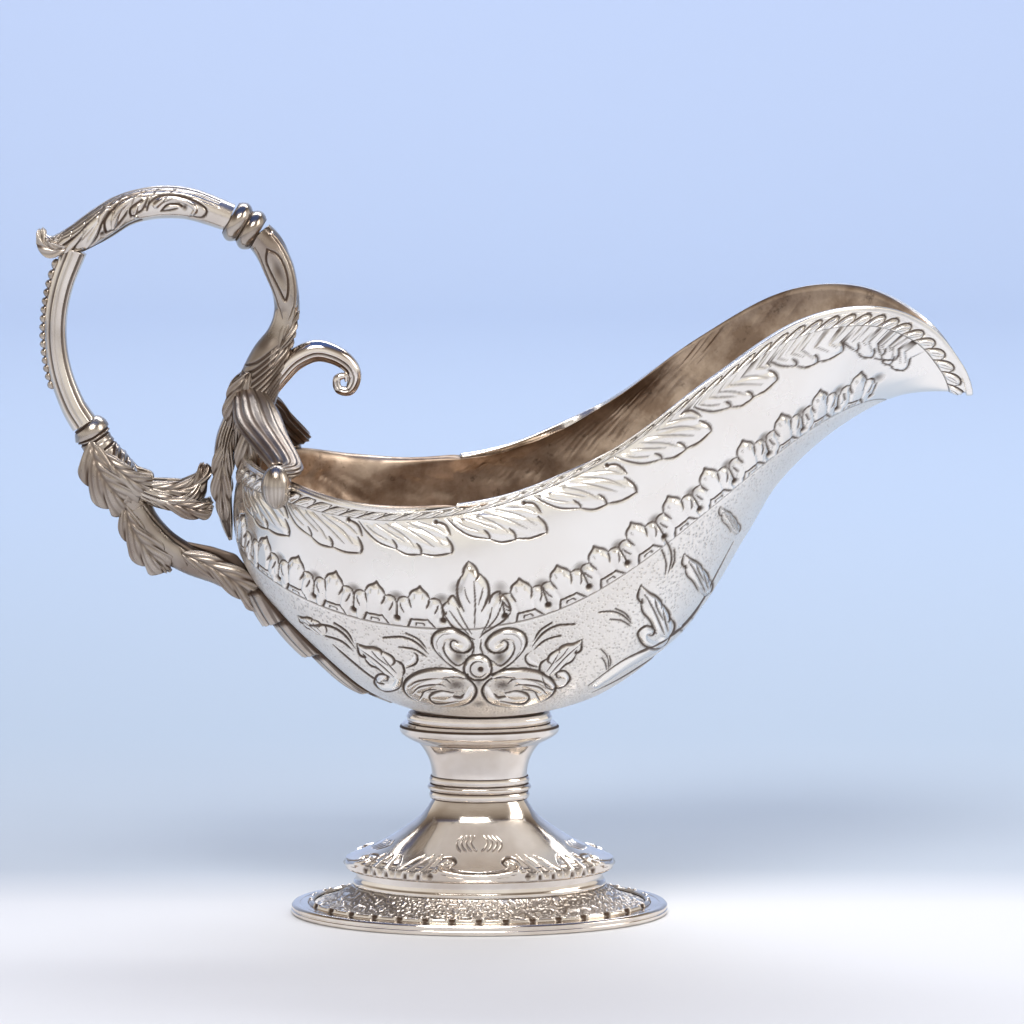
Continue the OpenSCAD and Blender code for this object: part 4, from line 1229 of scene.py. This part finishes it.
def build_top_scroll():
    rod = Rod(TOP_LINE, steps=330, around=120)
    for a, b in (([(0.52, -0.75), (0.42, -0.5), (0.30, -0.15), (0.225, 0.3), (0.21, 0.75)],
                  [(0.235, 0.95), (0.28, 0.75), (0.31, 0.35), (0.35, 0.05)]),
                 ([(0.66, -0.8), (0.56, -0.6), (0.47, -0.1), (0.445, 0.6)],
                  [(0.445, 0.62), (0.5, 0.6), (0.55, 0.3), (0.57, 0.05)]),
                 ([(0.575, 0.5), (0.585, 0), (0.64, -0.35)],
                  [(0.575, 0.5), (0.63, 0.3), (0.655, -0.1), (0.67, -0.5)]),
                 ([(0.725, 0.5), (0.76, 0.1), (0.81, 0.05), (0.83, 0.15)],
                  [(0.725, 0.5), (0.77, 0.45), (0.81, 0.3)])):
        rod.cut(a, 0.34, 0.5, 1.0, (0.6, 1.2))
        rod.cut(b, 0.32, 0.45, 0.95, (0.8, 0.5))
    rod.cut([(0.655, 0.35), (0.68, -0.2), (0.74, -0.5), (0.84, -0.45), (0.92, -0.1), (0.92, 0.55),
             (0.88, 0.7)], 0.34, 0.5, 1.0, (0.7, 0.7))
    rod.cut([(0.335, 0.85), (0.40, 0.55), (0.45, 0), (0.50, -0.4)], 0.32, 0.5, 1.0, (1, 0.6))
    for pts, radii, h in (([(0.50, -0.55), (0.40, -0.25), (0.30, 0.15), (0.245, 0.7)],
                           [1.0, 1.4, 1.2, 0.8], 0.8),
                          ([(0.47, -0.35), (0.42, 0.1), (0.36, 0.6), (0.345, 0.8)],
                           [0.7, 1.0, 1.0, 0.8], 0.7),
                          ([(0.64, -0.62), (0.55, -0.3), (0.5, 0.2), (0.475, 0.6)],
                           [0.7, 1.2, 1.1, 0.7], 0.75),
                          ([(0.62, -0.1), (0.595, 0.4), (0.6, 0.6)], [0.6, 0.8, 0.6], 0.6),
                          ([(0.7, 0.1), (0.75, -0.25), (0.83, -0.2), (0.89, 0.1), (0.885, 0.5)],
                           [1.0, 1.0, 0.9, 0.9, 0.7], 0.75),
                          ([(0.17, -0.5), (0.1, 0.1), (0.04, 0.2)], [1.2, 1.0, 0.5], 0.35)):
        rod.raise_(pts, radii, h, 0.8)
    rod.shade((0.845, 0.2), 1.5, 1.0, 0.5, (0.7, 0.9))
    rod.shade((0.43, 0.55), 1.3, 1.0, 0.5)
    rod.shade((0.65, 0.1), 1.2, 1.0, 0.5)
    rod.cut([(0.3, 0.9), (0.38, 0.95), (0.5, 0.9), (0.62, 0.85)], 0.3, 0.3, 0.9, (1, 1))
    rod.cut([(0.08, 0.4), (0.14, 0.1), (0.2, -0.1), (0.26, -0.5)], 0.22, 0.25, 0.7)
    rod.cut([(0.05, -0.1), (0.11, -0.4), (0.18, -0.7)], 0.2, 0.22, 0.6)
    for s, q in ((0.36, -0.2), (0.53, -0.2), (0.76, -0.3)):
        rod.cut([(s - 0.03, q + 0.3), (s + 0.03, q)], 0.14, 0.2, 0.7)
    for q in (-0.55, -0.78, -0.93):
        rod.cut([(0.16, q + 0.35), (0.3, q + 0.05), (0.5, q), (0.72, q), (0.95, q + 0.08)], 0.2, 0.22, 0.7)
    for k in range(9):
        s = 0.2 + 0.075 * k
        rod.cut([(s, -0.95), (s - 0.035, -0.55), (s - 0.06, -0.1)], 0.17, 0.22, 0.75)
    shell = rod.into(Shell(), sink=0.45)
    pair_of_leaves(shell, [(-45.2, 53.4, 2.0), (-48.6, 53.0, 2.6), (-51.2, 54.6, 2.4), (-52.2, 57.6, 1.6)],
                   [1.6, 2.2, 1.7, 0.5], lobes=2, thick=1.4)
    return shell.build("handle_top_scroll", MATTED, ["top_scroll"])


def build_collar():
    a, b = np.array([-3.6, 60.8]), np.array([3.4, 56.6])
    d = unit(b - a)
    h = np.linalg.norm(b - a)
    t = np.array([d[0], 0, d[1]])
    n = np.array([t[2], 0, -t[0]])
    r, steps = 5.5, 20
    outline = [(0.02, 0)]
    for k in range(2):
        for i in range(steps + 1):
            swell = math.sin(math.pi * i / steps) ** 0.8
            outline.append((r - 1.2 + 1.2 * swell, h * (k + i / steps) / 2))
    outline.append((0.02, h))
    o = np.array(outline)
    ang = np.linspace(0, 2 * np.pi, 72, endpoint=False)
    base = place(a[0], 0, a[1])
    p = (base + o[:, 1][:, None, None] * t + (o[:, 0][:, None] * np.cos(ang))[..., None] * n
         + (o[:, 0][:, None] * np.sin(ang))[..., None] * np.array([0, 1.0, 0]))
    near_edge = np.abs((o[:, 1] / h * 2) % 1 - 0.5) * 2
    dark = smooth((near_edge - 0.82) / 0.18)[:, None] * np.ones(72)
    return Shell().grid(p, caps=(True, True), patina=dark).build(
        "handle_ring_collar", CAST, ["ring_collar"])


def build_leaf_stem():
    rod = Rod(STEM_LINE, 0.95, steps=330, around=120)
    drop = [(0.10, 0.1), (0.15, 0.55), (0.24, 0.5), (0.33, 0.05), (0.24, -0.45), (0.15, -0.4),
            (0.10, 0.1)]
    rod.cut(drop, 0.32, 0.4, 0.95, (1, 1))
    rod.raise_([(0.06, -0.7), (0.2, -0.85), (0.36, -0.6)], [0.8, 0.9, 0.7], 0.35)
    rod.raise_([(0.06, 0.75), (0.2, 0.85), (0.36, 0.6)], [0.8, 0.9, 0.7], 0.35)
    rod.shade((0.2, 0.05), 3.4, 0.75, 0.75, (1.7, 0.6))
    for q in (-0.78, 0.82):
        rod.cut([(0.05, q * 0.8), (0.2, q), (0.35, q * 0.75), (0.42, q * 0.3)], 0.2, 0.25, 0.7)
    for k in range(7):
        d = 0.037 * k
        rod.cut([(0.385 + d, -0.95), (0.505 + d, -0.4), (0.62 + d, 0.4), (0.665 + d, 0.95)], 0.34, 0.55,
                0.9, (0.9, 0.7))
    for k in range(5):
        d = 0.05 * k
        rod.cut([(0.56 + d * 0.7, -0.95), (0.70 + d * 0.8, -0.5), (0.82 + d * 0.6, 0.0),
                 (0.9 + d * 0.4, 0.35)], 0.26, 0.4, 0.85)
    rod.cut([(0.69, 0.95), (0.8, 0.5), (0.9, 0.3), (1, 0.4)], 0.36, 0.5, 1.0)
    shell = rod.into(Shell(), sink=0.0, patina=0.3 * smooth((rod.share - 0.35) / 0.2)[:, None])
    pair_of_leaves(shell, [(6.2, 22, 4.2), (8.4, 26.5, 3.6), (10.8, 31.5, 3.0), (13.4, 36.5, 2.0)],
                   [1.4, 2.2, 1.8, 0.4], lobes=3, thick=0.9)
    pair_of_leaves(shell, [(1.2, 21.5, 4.2), (-1.0, 17.5, 4.6), (-2.6, 12.5, 4.6), (-3.6, 7.0, 3.8)],
                   [2.2, 3.2, 2.6, 0.5], lobes=3, thick=1.0)
    pair_of_leaves(shell, [(1.6, 13.5, 5.2), (1.2, 6.5, 6.4), (0.8, -1.5, 6.6), (0.2, -9.5, 5.6)],
                   [2.4, 3.6, 3.2, 0.5], lobes=4, thick=1.0)
    return shell.build("handle_leaf_stem", CAST, ["leaf_stem"])


def build_thumb_scroll():
    rod = Rod(THUMB_LINE, steps=300, around=64)
    rod.cut([(0.02, 0.3), (0.2, 0.25), (0.4, 0.2), (0.6, 0.1), (0.8, 0.0)], 0.3, 0.3, 0.7, (1, 0.5))
    rod.cut([(0.55, 0.8), (0.7, 0.9), (0.85, 0.95), (1, 0.8)], 0.3, 0.4, 0.9, (0.6, 1))
    shell = rod.into(Shell(), sink=0.2)
    return shell.build("thumb_scroll_bright", BRIGHT, ["thumb_scroll"])


def build_rim_leaf(side, name, node):
    u = 180 - side * 28
    r = bowl_at(u, 1.0)
    out = unit(np.array([r[0] - (RIM_X + 30), r[1], 0]))
    up = np.array([0, 0, 1.0])
    bulb = r + out * 3.5 - 0.9 * up
    line = [place(1, side * 3, 16), place(2.6, side * 9, 13), place(5, side * 18, 8.5),
            r + 3.6 * up - out, r + 2.2 * up + out * 2.6, r - 2.5 * up + out * 3.7]
    size = [[3.8, 2.2], [5.6, 2.4], [6.2, 2.2], [4.4, 2.2], [2.0, 1.6], [0.6, 0.5]]
    s = np.linspace(0, 1, 170)
    c, w = along(line, s), np.maximum(along(size, s), 0.1)
    t = unit(np.gradient(c, axis=0))
    across = unit(np.cross(t, up))
    top = unit(np.cross(across, t))
    ang = np.linspace(0, 2 * np.pi, 90, endpoint=False)
    flute = np.cos(12 * ang)[None] * smooth(s / 0.08)[:, None]
    scale = 0.95 + 0.06 * flute
    p = (c[:, None] + (w[:, :1] * scale * np.cos(ang))[..., None] * across[:, None]
         + (w[:, 1:] * scale * np.sin(ang))[..., None] * top[:, None])
    dark = np.maximum(smooth(-flute * 1.2 - 0.1) * 0.95, 0.42 - 0.3 * smooth((s - 0.7) / 0.2)[:, None])
    shell = Shell().grid(p[:, ::-1], caps=(True, True), patina=dark)
    n, m = 40, 48
    a, b = np.linspace(0.02, math.pi - 0.02, n)[:, None], np.linspace(0, 2 * np.pi, m, endpoint=False)
    reeds = 1 - 0.03 * np.abs(np.sin(10 * b))
    ball = np.stack([3.9 * reeds * np.sin(a) * np.cos(b), 3.9 * reeds * np.sin(a) * np.sin(b),
                     5.6 * np.cos(a) + 0 * b], -1)
    shell.grid((bulb + ball)[::-1], caps=(True, True), patina=0.35 * smooth((0.985 - reeds) / 0.01))
    return shell.build(name, CAST, [node])


def build_back_leaf():
    rod = Rod(BACK_LEAF_LINE, 1.7, steps=200, around=96)
    for q in (-0.75, -0.45, -0.15, 0.15, 0.45, 0.75):
        rod.cut([(0.02, q), (0.3, q * 1.05), (0.6, q), (0.95, q * 0.6)], 0.24, 0.32, 0.85)
    shell = rod.into(Shell(), sink=0.1)
    pair_of_leaves(shell, [(-3.0, 8.5, 2.4), (-5.2, 1.0, 3.4), (-6.2, -8.0, 3.6), (-5.6, -17.5, 2.6)],
                   [1.8, 2.9, 2.6, 0.5], lobes=5, thick=0.9)
    shell.build("back_leaf_fluted", CAST, ["back_leaf"])


def build_sheath():
    rod = Rod(SHEATH_LINE, steps=260, around=110)
    length = rod.length / rod.length[-1]
    collars = np.zeros(len(length))
    for at, wide, high in ((0.10, 0.07, 0.28), (0.30, 0.05, 0.2)):
        collars += high * np.sqrt(np.clip(1 - ((length - at) / wide) ** 2, 0, 1))
    for s in (0.015, 0.19, 0.235, 0.365):
        rod.cut([(s, -1), (s + 0.012, -0.5), (s + 0.02, 0), (s + 0.012, 0.5), (s, 1)], 0.32, 0.45, 1.0,
                (1, 1))
    for k in range(4):
        d = 0.09 * k
        rod.cut([(0.40 + d, -0.95), (0.5 + d, -0.4), (0.58 + d, 0.2), (0.6 + d, 0.9)], 0.32, 0.5, 0.95)
        rod.raise_([(0.44 + d, -0.9), (0.54 + d, -0.35), (0.61 + d, 0.2)], [0.8, 1.1, 0.9], 0.45)
    rod.shade((0.62, 0.6), 2.2, 0.9, 0.4)
    rod.shade((0.86, -0.4), 2.0, 0.9, 0.4)
    shell = rod.into(Shell(), collars[:, None], sink=0.5, patina=0.2)
    pair_of_leaves(shell, [(-39.6, 3.4, 3.0), (-38.2, -2.6, 4.2), (-34.6, -8.2, 4.6), (-29.6, -13.6, 3.6)],
                   [4.4, 5.4, 5.0, 1.2], lobes=4, thick=1.2, notch=0.42)
    pair_of_leaves(shell, [(-36.4, 0.4, 3.8), (-33.0, -3.4, 4.8), (-28.6, -6.6, 4.4), (-24.0, -8.4, 3.4)],
                   [2.2, 3.4, 3.0, 0.6], lobes=3, thick=1.0)
    shell.build("lower_sheath_leaf", CAST, ["lower_sheath"])


def build_spur_leaf():
    rod = Rod(SPUR_LINE, 1.5, steps=240, around=100)
    for q in (-0.55, -0.1, 0.35, 0.75):
        rod.cut([(0.02, q), (0.25, q * 1.05), (0.5, q), (0.72, q * 0.8), (0.9, q * 0.5)], 0.27, 0.36, 0.9)
    rod.shade((0.72, 0.6), 2.4, 1.0, 0.5, (1.2, 0.8))
    shell = rod.into(Shell(), sink=0.25)
    pair_of_leaves(shell, [(-27, -8.0, 3.0), (-20.5, -9.0, 3.2), (-14.7, -8.4, 2.8), (-11.6, -5.6, 2.2),
                           (-10.8, -3.2, 1.6)], [1.8, 2.6, 2.6, 1.9, 0.5], lobes=4, thick=1.1)
    pair_of_leaves(shell, [(-27, -9.6, 2.4), (-20, -12.2, 3.6), (-13.4, -14.0, 3.6), (-9.2, -13.8, 3.0)],
                   [1.6, 2.7, 2.7, 0.6], lobes=4, thick=1.1)
    shell.build("inner_spur_leaf", CAST, ["spur_leaf"])


def build_outer_leaf():
    rod = Rod(OUTER_LINE, 1.8, steps=200, around=90)
    for q in (-0.5, 0, 0.5):
        rod.cut([(0.05, q), (0.35, q * 1.1), (0.7, q), (0.95, q * 0.6)], 0.28, 0.36, 0.9)
    shell = rod.into(Shell(), sink=0.2)
    pair_of_leaves(shell, [(-31.4, -12.8, 3.2), (-29.4, -18.6, 3.8), (-25.4, -24.6, 3.8),
                           (-20.6, -30.0, 3.0)], [2.6, 4.4, 4.2, 0.6], lobes=4, thick=1.1, notch=0.46)
    shell.build("outer_leaf_fan", CAST, ["outer_leaf"])


def build_branch():
    rod = Rod(BRANCH_LINE, steps=240, around=90)
    rod.cut([(0.02, -0.6), (0.25, -0.75), (0.5, -0.7), (0.75, -0.5), (0.95, -0.2)], 0.3, 0.3, 0.85)
    for k in range(5):
        s = 0.5 + 0.08 * k
        rod.cut([(s, -0.5), (s + 0.06, -0.1), (s + 0.1, 0.35)], 0.24, 0.3, 0.85)
    # painted shade: the upper side of the branch is darkened
    top = smooth((-rod.cos - 0.62) / 0.2)[None] * smooth((rod.share - 0.2) / 0.2)[:, None]
    shell = rod.into(Shell(), sink=0.1, patina=0.3 + 0.6 * top)
    pair_of_leaves(shell, [(-16.5, -25.6, 3.2), (-8.6, -29.2, 3.8), (-1.4, -34.0, 4.2), (4.6, -40.5, 4.4)],
                   [2.4, 3.6, 3.6, 0.7], lobes=4, thick=1.0)
    shell.build("lower_branch_bright", CAST, ["lower_branch"])


def build_web():
    o = rounded(WEB, 0.8, 6)
    rings = []
    for y, inset in ((-0.8, 0.94), (-0.6, 1.0), (0.6, 1.0), (0.8, 0.94)):
        m = o.mean(0)
        q = m + (o - m) * inset
        rings.append(np.stack([RIM_X + q[:, 0], np.full(len(q), y), RIM_TOP + q[:, 1]], -1))
    # the web plate is made nearly black: painted shade of the gap between the branch and the leaves
    Shell().grid(np.array(rings)[:, ::-1], caps=(True, True), patina=0.85).build(
        "branch_web_plate", CAST, ["branch_web"])


def build_tail():
    """Overlapping leaves that spread from the branch down over the back of the bowl."""
    cols, rows = 161, 190
    t = np.linspace(0, 1, rows)[:, None]
    j = np.linspace(-1, 1, cols)[None]
    spread = 13.5 * (1 + 0.25 * np.sin(3.0 * t))
    u = 180 + j * spread
    v = 0.5 + (0.06 - 0.5) * t + 0 * j
    step = (3.3 * t) % 1.0
    drop = smooth((1 - step) / 0.1)
    height = along([6.4, 6.6, 6, 4.8, 3.4, 1.2], t[:, 0])[:, None]
    height = height * (0.62 + 0.38 * step) * (0.45 + 0.55 * drop)
    reach = 0.62 + 0.38 * np.sin(np.pi * np.clip(step * 0.62 + 0.2, 0, 1))
    k = j / reach
    fan = np.cos(2 * np.pi * (3.5 * k + 0.5 * k * step))
    inside = np.clip(1 - k**2, 0.0, 1)
    lift = 0.05 + height * inside ** 0.55 * (0.93 + 0.07 * fan)
    p = bowl_at(u, v) + bowl_normal(u, v) * lift[..., None]
    under = bowl_at(u, v) + bowl_normal(u, v) * 0.02
    # painted shade: each leaf layer is darkened at both ends, where one layer overlaps the next
    ends = smooth((0.12 - step) / 0.1), smooth((step - 0.93) / 0.05)
    dark = 0.7 * smooth((-fan - 0.35) / 0.5) + 0.9 * ends[0] + 0.9 * ends[1]
    dark = np.maximum(dark, smooth((0.12 - inside) / 0.1))
    rings = np.concatenate([p, under[:, ::-1]], 1)
    marks = np.concatenate([np.clip(dark, 0, 1) + 0 * j, np.ones_like(dark)], 1)
    return Shell().grid(rings[:, ::-1], caps=(True, True), patina=marks[:, ::-1]).build(
        "tail_leaf_layers", CAST, ["tail_leaf"])


# ---- floor, light and camera ---------------------------------------------------------------

def graded(nodes, stops):
    """A colour ramp through stops of (place, colour)."""
    ramp = nodes.new("ShaderNodeValToRGB")
    while len(ramp.color_ramp.elements) < len(stops):
        ramp.color_ramp.elements.new(0.5)
    for element, (at, colour) in zip(ramp.color_ramp.elements, stops):
        element.position, element.color = at, (*colour, 1)
    return ramp


def paper_sweep(scene):
    """Floor that bends up into the backdrop."""
    room, bend, far = 3.0, 0.5, 1.9
    t = np.linspace(0, 1, 24)
    line = [(-2.2, 0.0), (far - bend, 0.0)]
    line += [(far - bend + bend * math.sin(a * math.pi / 2), bend * (1 - math.cos(a * math.pi / 2)))
             for a in t[1:]]
    line += [(far, 2.4)]
    p = np.array([[(x, y, z) for x in (-room, room)] for y, z in line])
    mesh = bpy.data.meshes.new("sweep")
    n = len(line)
    faces = [(2 * i, 2 * i + 1, 2 * i + 3, 2 * i + 2) for i in range(n - 1)]
    mesh.from_pydata([tuple(q) for q in p.reshape(-1, 3)], [], faces)
    for f in mesh.polygons:
        f.use_smooth = True
    sweep = bpy.data.objects.new("sweep", mesh)
    sweep.location = (0, 0, -0.0002)
    scene.collection.objects.link(sweep)
    material = bpy.data.materials.new("paper_sweep")
    material.use_nodes = True
    nodes, links = nodes_of(material)
    bsdf = nodes["Principled BSDF"]
    bsdf.inputs["Roughness"].default_value = 0.9
    bsdf.inputs["Specular IOR Level"].default_value = 0.1
    coord = nodes.new("ShaderNodeTexCoord")
    split = nodes.new("ShaderNodeSeparateXYZ")
    links.new(coord.outputs["Object"], split.inputs[0])
    # the ramp paints shade on the floor just behind the object and where it meets the backdrop, and grades
    # the backdrop bluer with height
    ramp = graded(nodes, (
        (0.003, (0.77, 0.775, 0.79)), (0.02, (0.52, 0.57, 0.63)), (0.09, (0.45, 0.53, 0.625)),
        (0.26, (0.44, 0.53, 0.665)), (0.8, (0.45, 0.54, 0.73))))
    lift = nodes.new("ShaderNodeMath")
    lift.operation = "MULTIPLY_ADD"
    lift.inputs[1].default_value = 3.0
    links.new(split.outputs["Z"], lift.inputs[0])
    links.new(split.outputs["Y"], lift.inputs[2])
    reach = nodes.new("ShaderNodeMapRange")
    reach.inputs["From Max"].default_value = 2.8
    links.new(lift.outputs[0], reach.inputs["Value"])
    links.new(reach.outputs["Result"], ramp.inputs["Fac"])
    links.new(ramp.outputs["Color"], bsdf.inputs["Base Color"])
    mesh.materials.append(material)


def sky(scene):
    """Surroundings that the silver mirrors: warm below, bright at the horizon, dark above."""
    world = bpy.data.worlds.new("studio")
    scene.world = world
    world.use_nodes = True
    nodes, links = world.node_tree.nodes, world.node_tree.links
    background = nodes["Background"]
    coord = nodes.new("ShaderNodeTexCoord")
    split = nodes.new("ShaderNodeSeparateXYZ")
    links.new(coord.outputs["Generated"], split.inputs[0])
    ramp = graded(nodes, (
        (0.0, (0.2, 0.165, 0.135)), (0.28, (0.3, 0.26, 0.22)), (0.41, (0.6, 0.57, 0.53)),
        (0.48, (0.95, 0.93, 0.9)), (0.64, (0.98, 0.95, 0.91)), (0.76, (0.42, 0.36, 0.3)),
        (0.87, (0.13, 0.1, 0.08)), (0.96, (0.09, 0.16, 0.42))))
    half = nodes.new("ShaderNodeMapRange")
    half.inputs["From Min"].default_value = -1
    links.new(split.outputs["Z"], half.inputs["Value"])
    links.new(half.outputs["Result"], ramp.inputs["Fac"])
    links.new(ramp.outputs["Color"], background.inputs["Color"])
    background.inputs["Strength"].default_value = 0.95


def lamps(scene):
    aim = (0.0, 0.0, 0.09)
    for name, at, size, power, colour in (
        ("key", (-0.15, -1.05, 1.35), (0.8, 0.5), 15, (1.0, 0.985, 0.96)),
        ("side", (1.3, -0.5, 0.9), (0.7, 0.9), 8, (1.0, 0.98, 0.95)),
        ("rear", (0.2, 0.75, 1.2), (1.1, 0.35), 7, (0.93, 0.96, 1.0)),
        ("wall", (0.0, 0.95, 1.5), (2.2, 0.3), 17, (1.0, 1.0, 1.0)),
    ):
        light = bpy.data.lights.new(name, "AREA")
        light.shape, light.size, light.size_y = "RECTANGLE", *size
        light.energy, light.color = power, colour
        lamp = bpy.data.objects.new(name, light)
        lamp.location = at
        lamp.rotation_euler = direction(at, (0.0, 1.9, 0.25) if name == "wall" else aim)
        scene.collection.objects.link(lamp)


def photo_view(scene):
    """Camera fitted to the photograph."""
    camera = bpy.data.cameras.new("photo_view")
    camera.lens, camera.sensor_width = 204.4, 36
    camera.clip_start, camera.clip_end = 0.1, 20
    eye = bpy.data.objects.new("photo_view", camera)
    eye.location = (0.00162, -1.48429, 0.32169)
    eye.rotation_euler = (math.radians(81.7), 0, 0)
    scene.collection.objects.link(eye)
    scene.camera = eye
    scene.view_settings.view_transform = "Standard"


def studio():
    scene = bpy.context.scene
    paper_sweep(scene)
    sky(scene)
    lamps(scene)
    photo_view(scene)


def direction(at, aim):
    d = np.array(aim) - np.array(at)
    pitch = math.atan2(math.hypot(d[0], d[1]), -d[2])
    return (pitch, 0, math.atan2(-d[0], d[1]))


build_bowl()
build_border()
build_foot_and_stem()
build_back_tube()
build_top_scroll()
build_collar()
build_leaf_stem()
build_thumb_scroll()
build_rim_leaf(-1, "rim_leaf_near_fluted", "rim_leaf_near")
build_rim_leaf(1, "rim_leaf_far_fluted", "rim_leaf_far")
build_back_leaf()
build_sheath()
build_spur_leaf()
build_outer_leaf()
build_branch()
build_web()
build_tail()
studio()
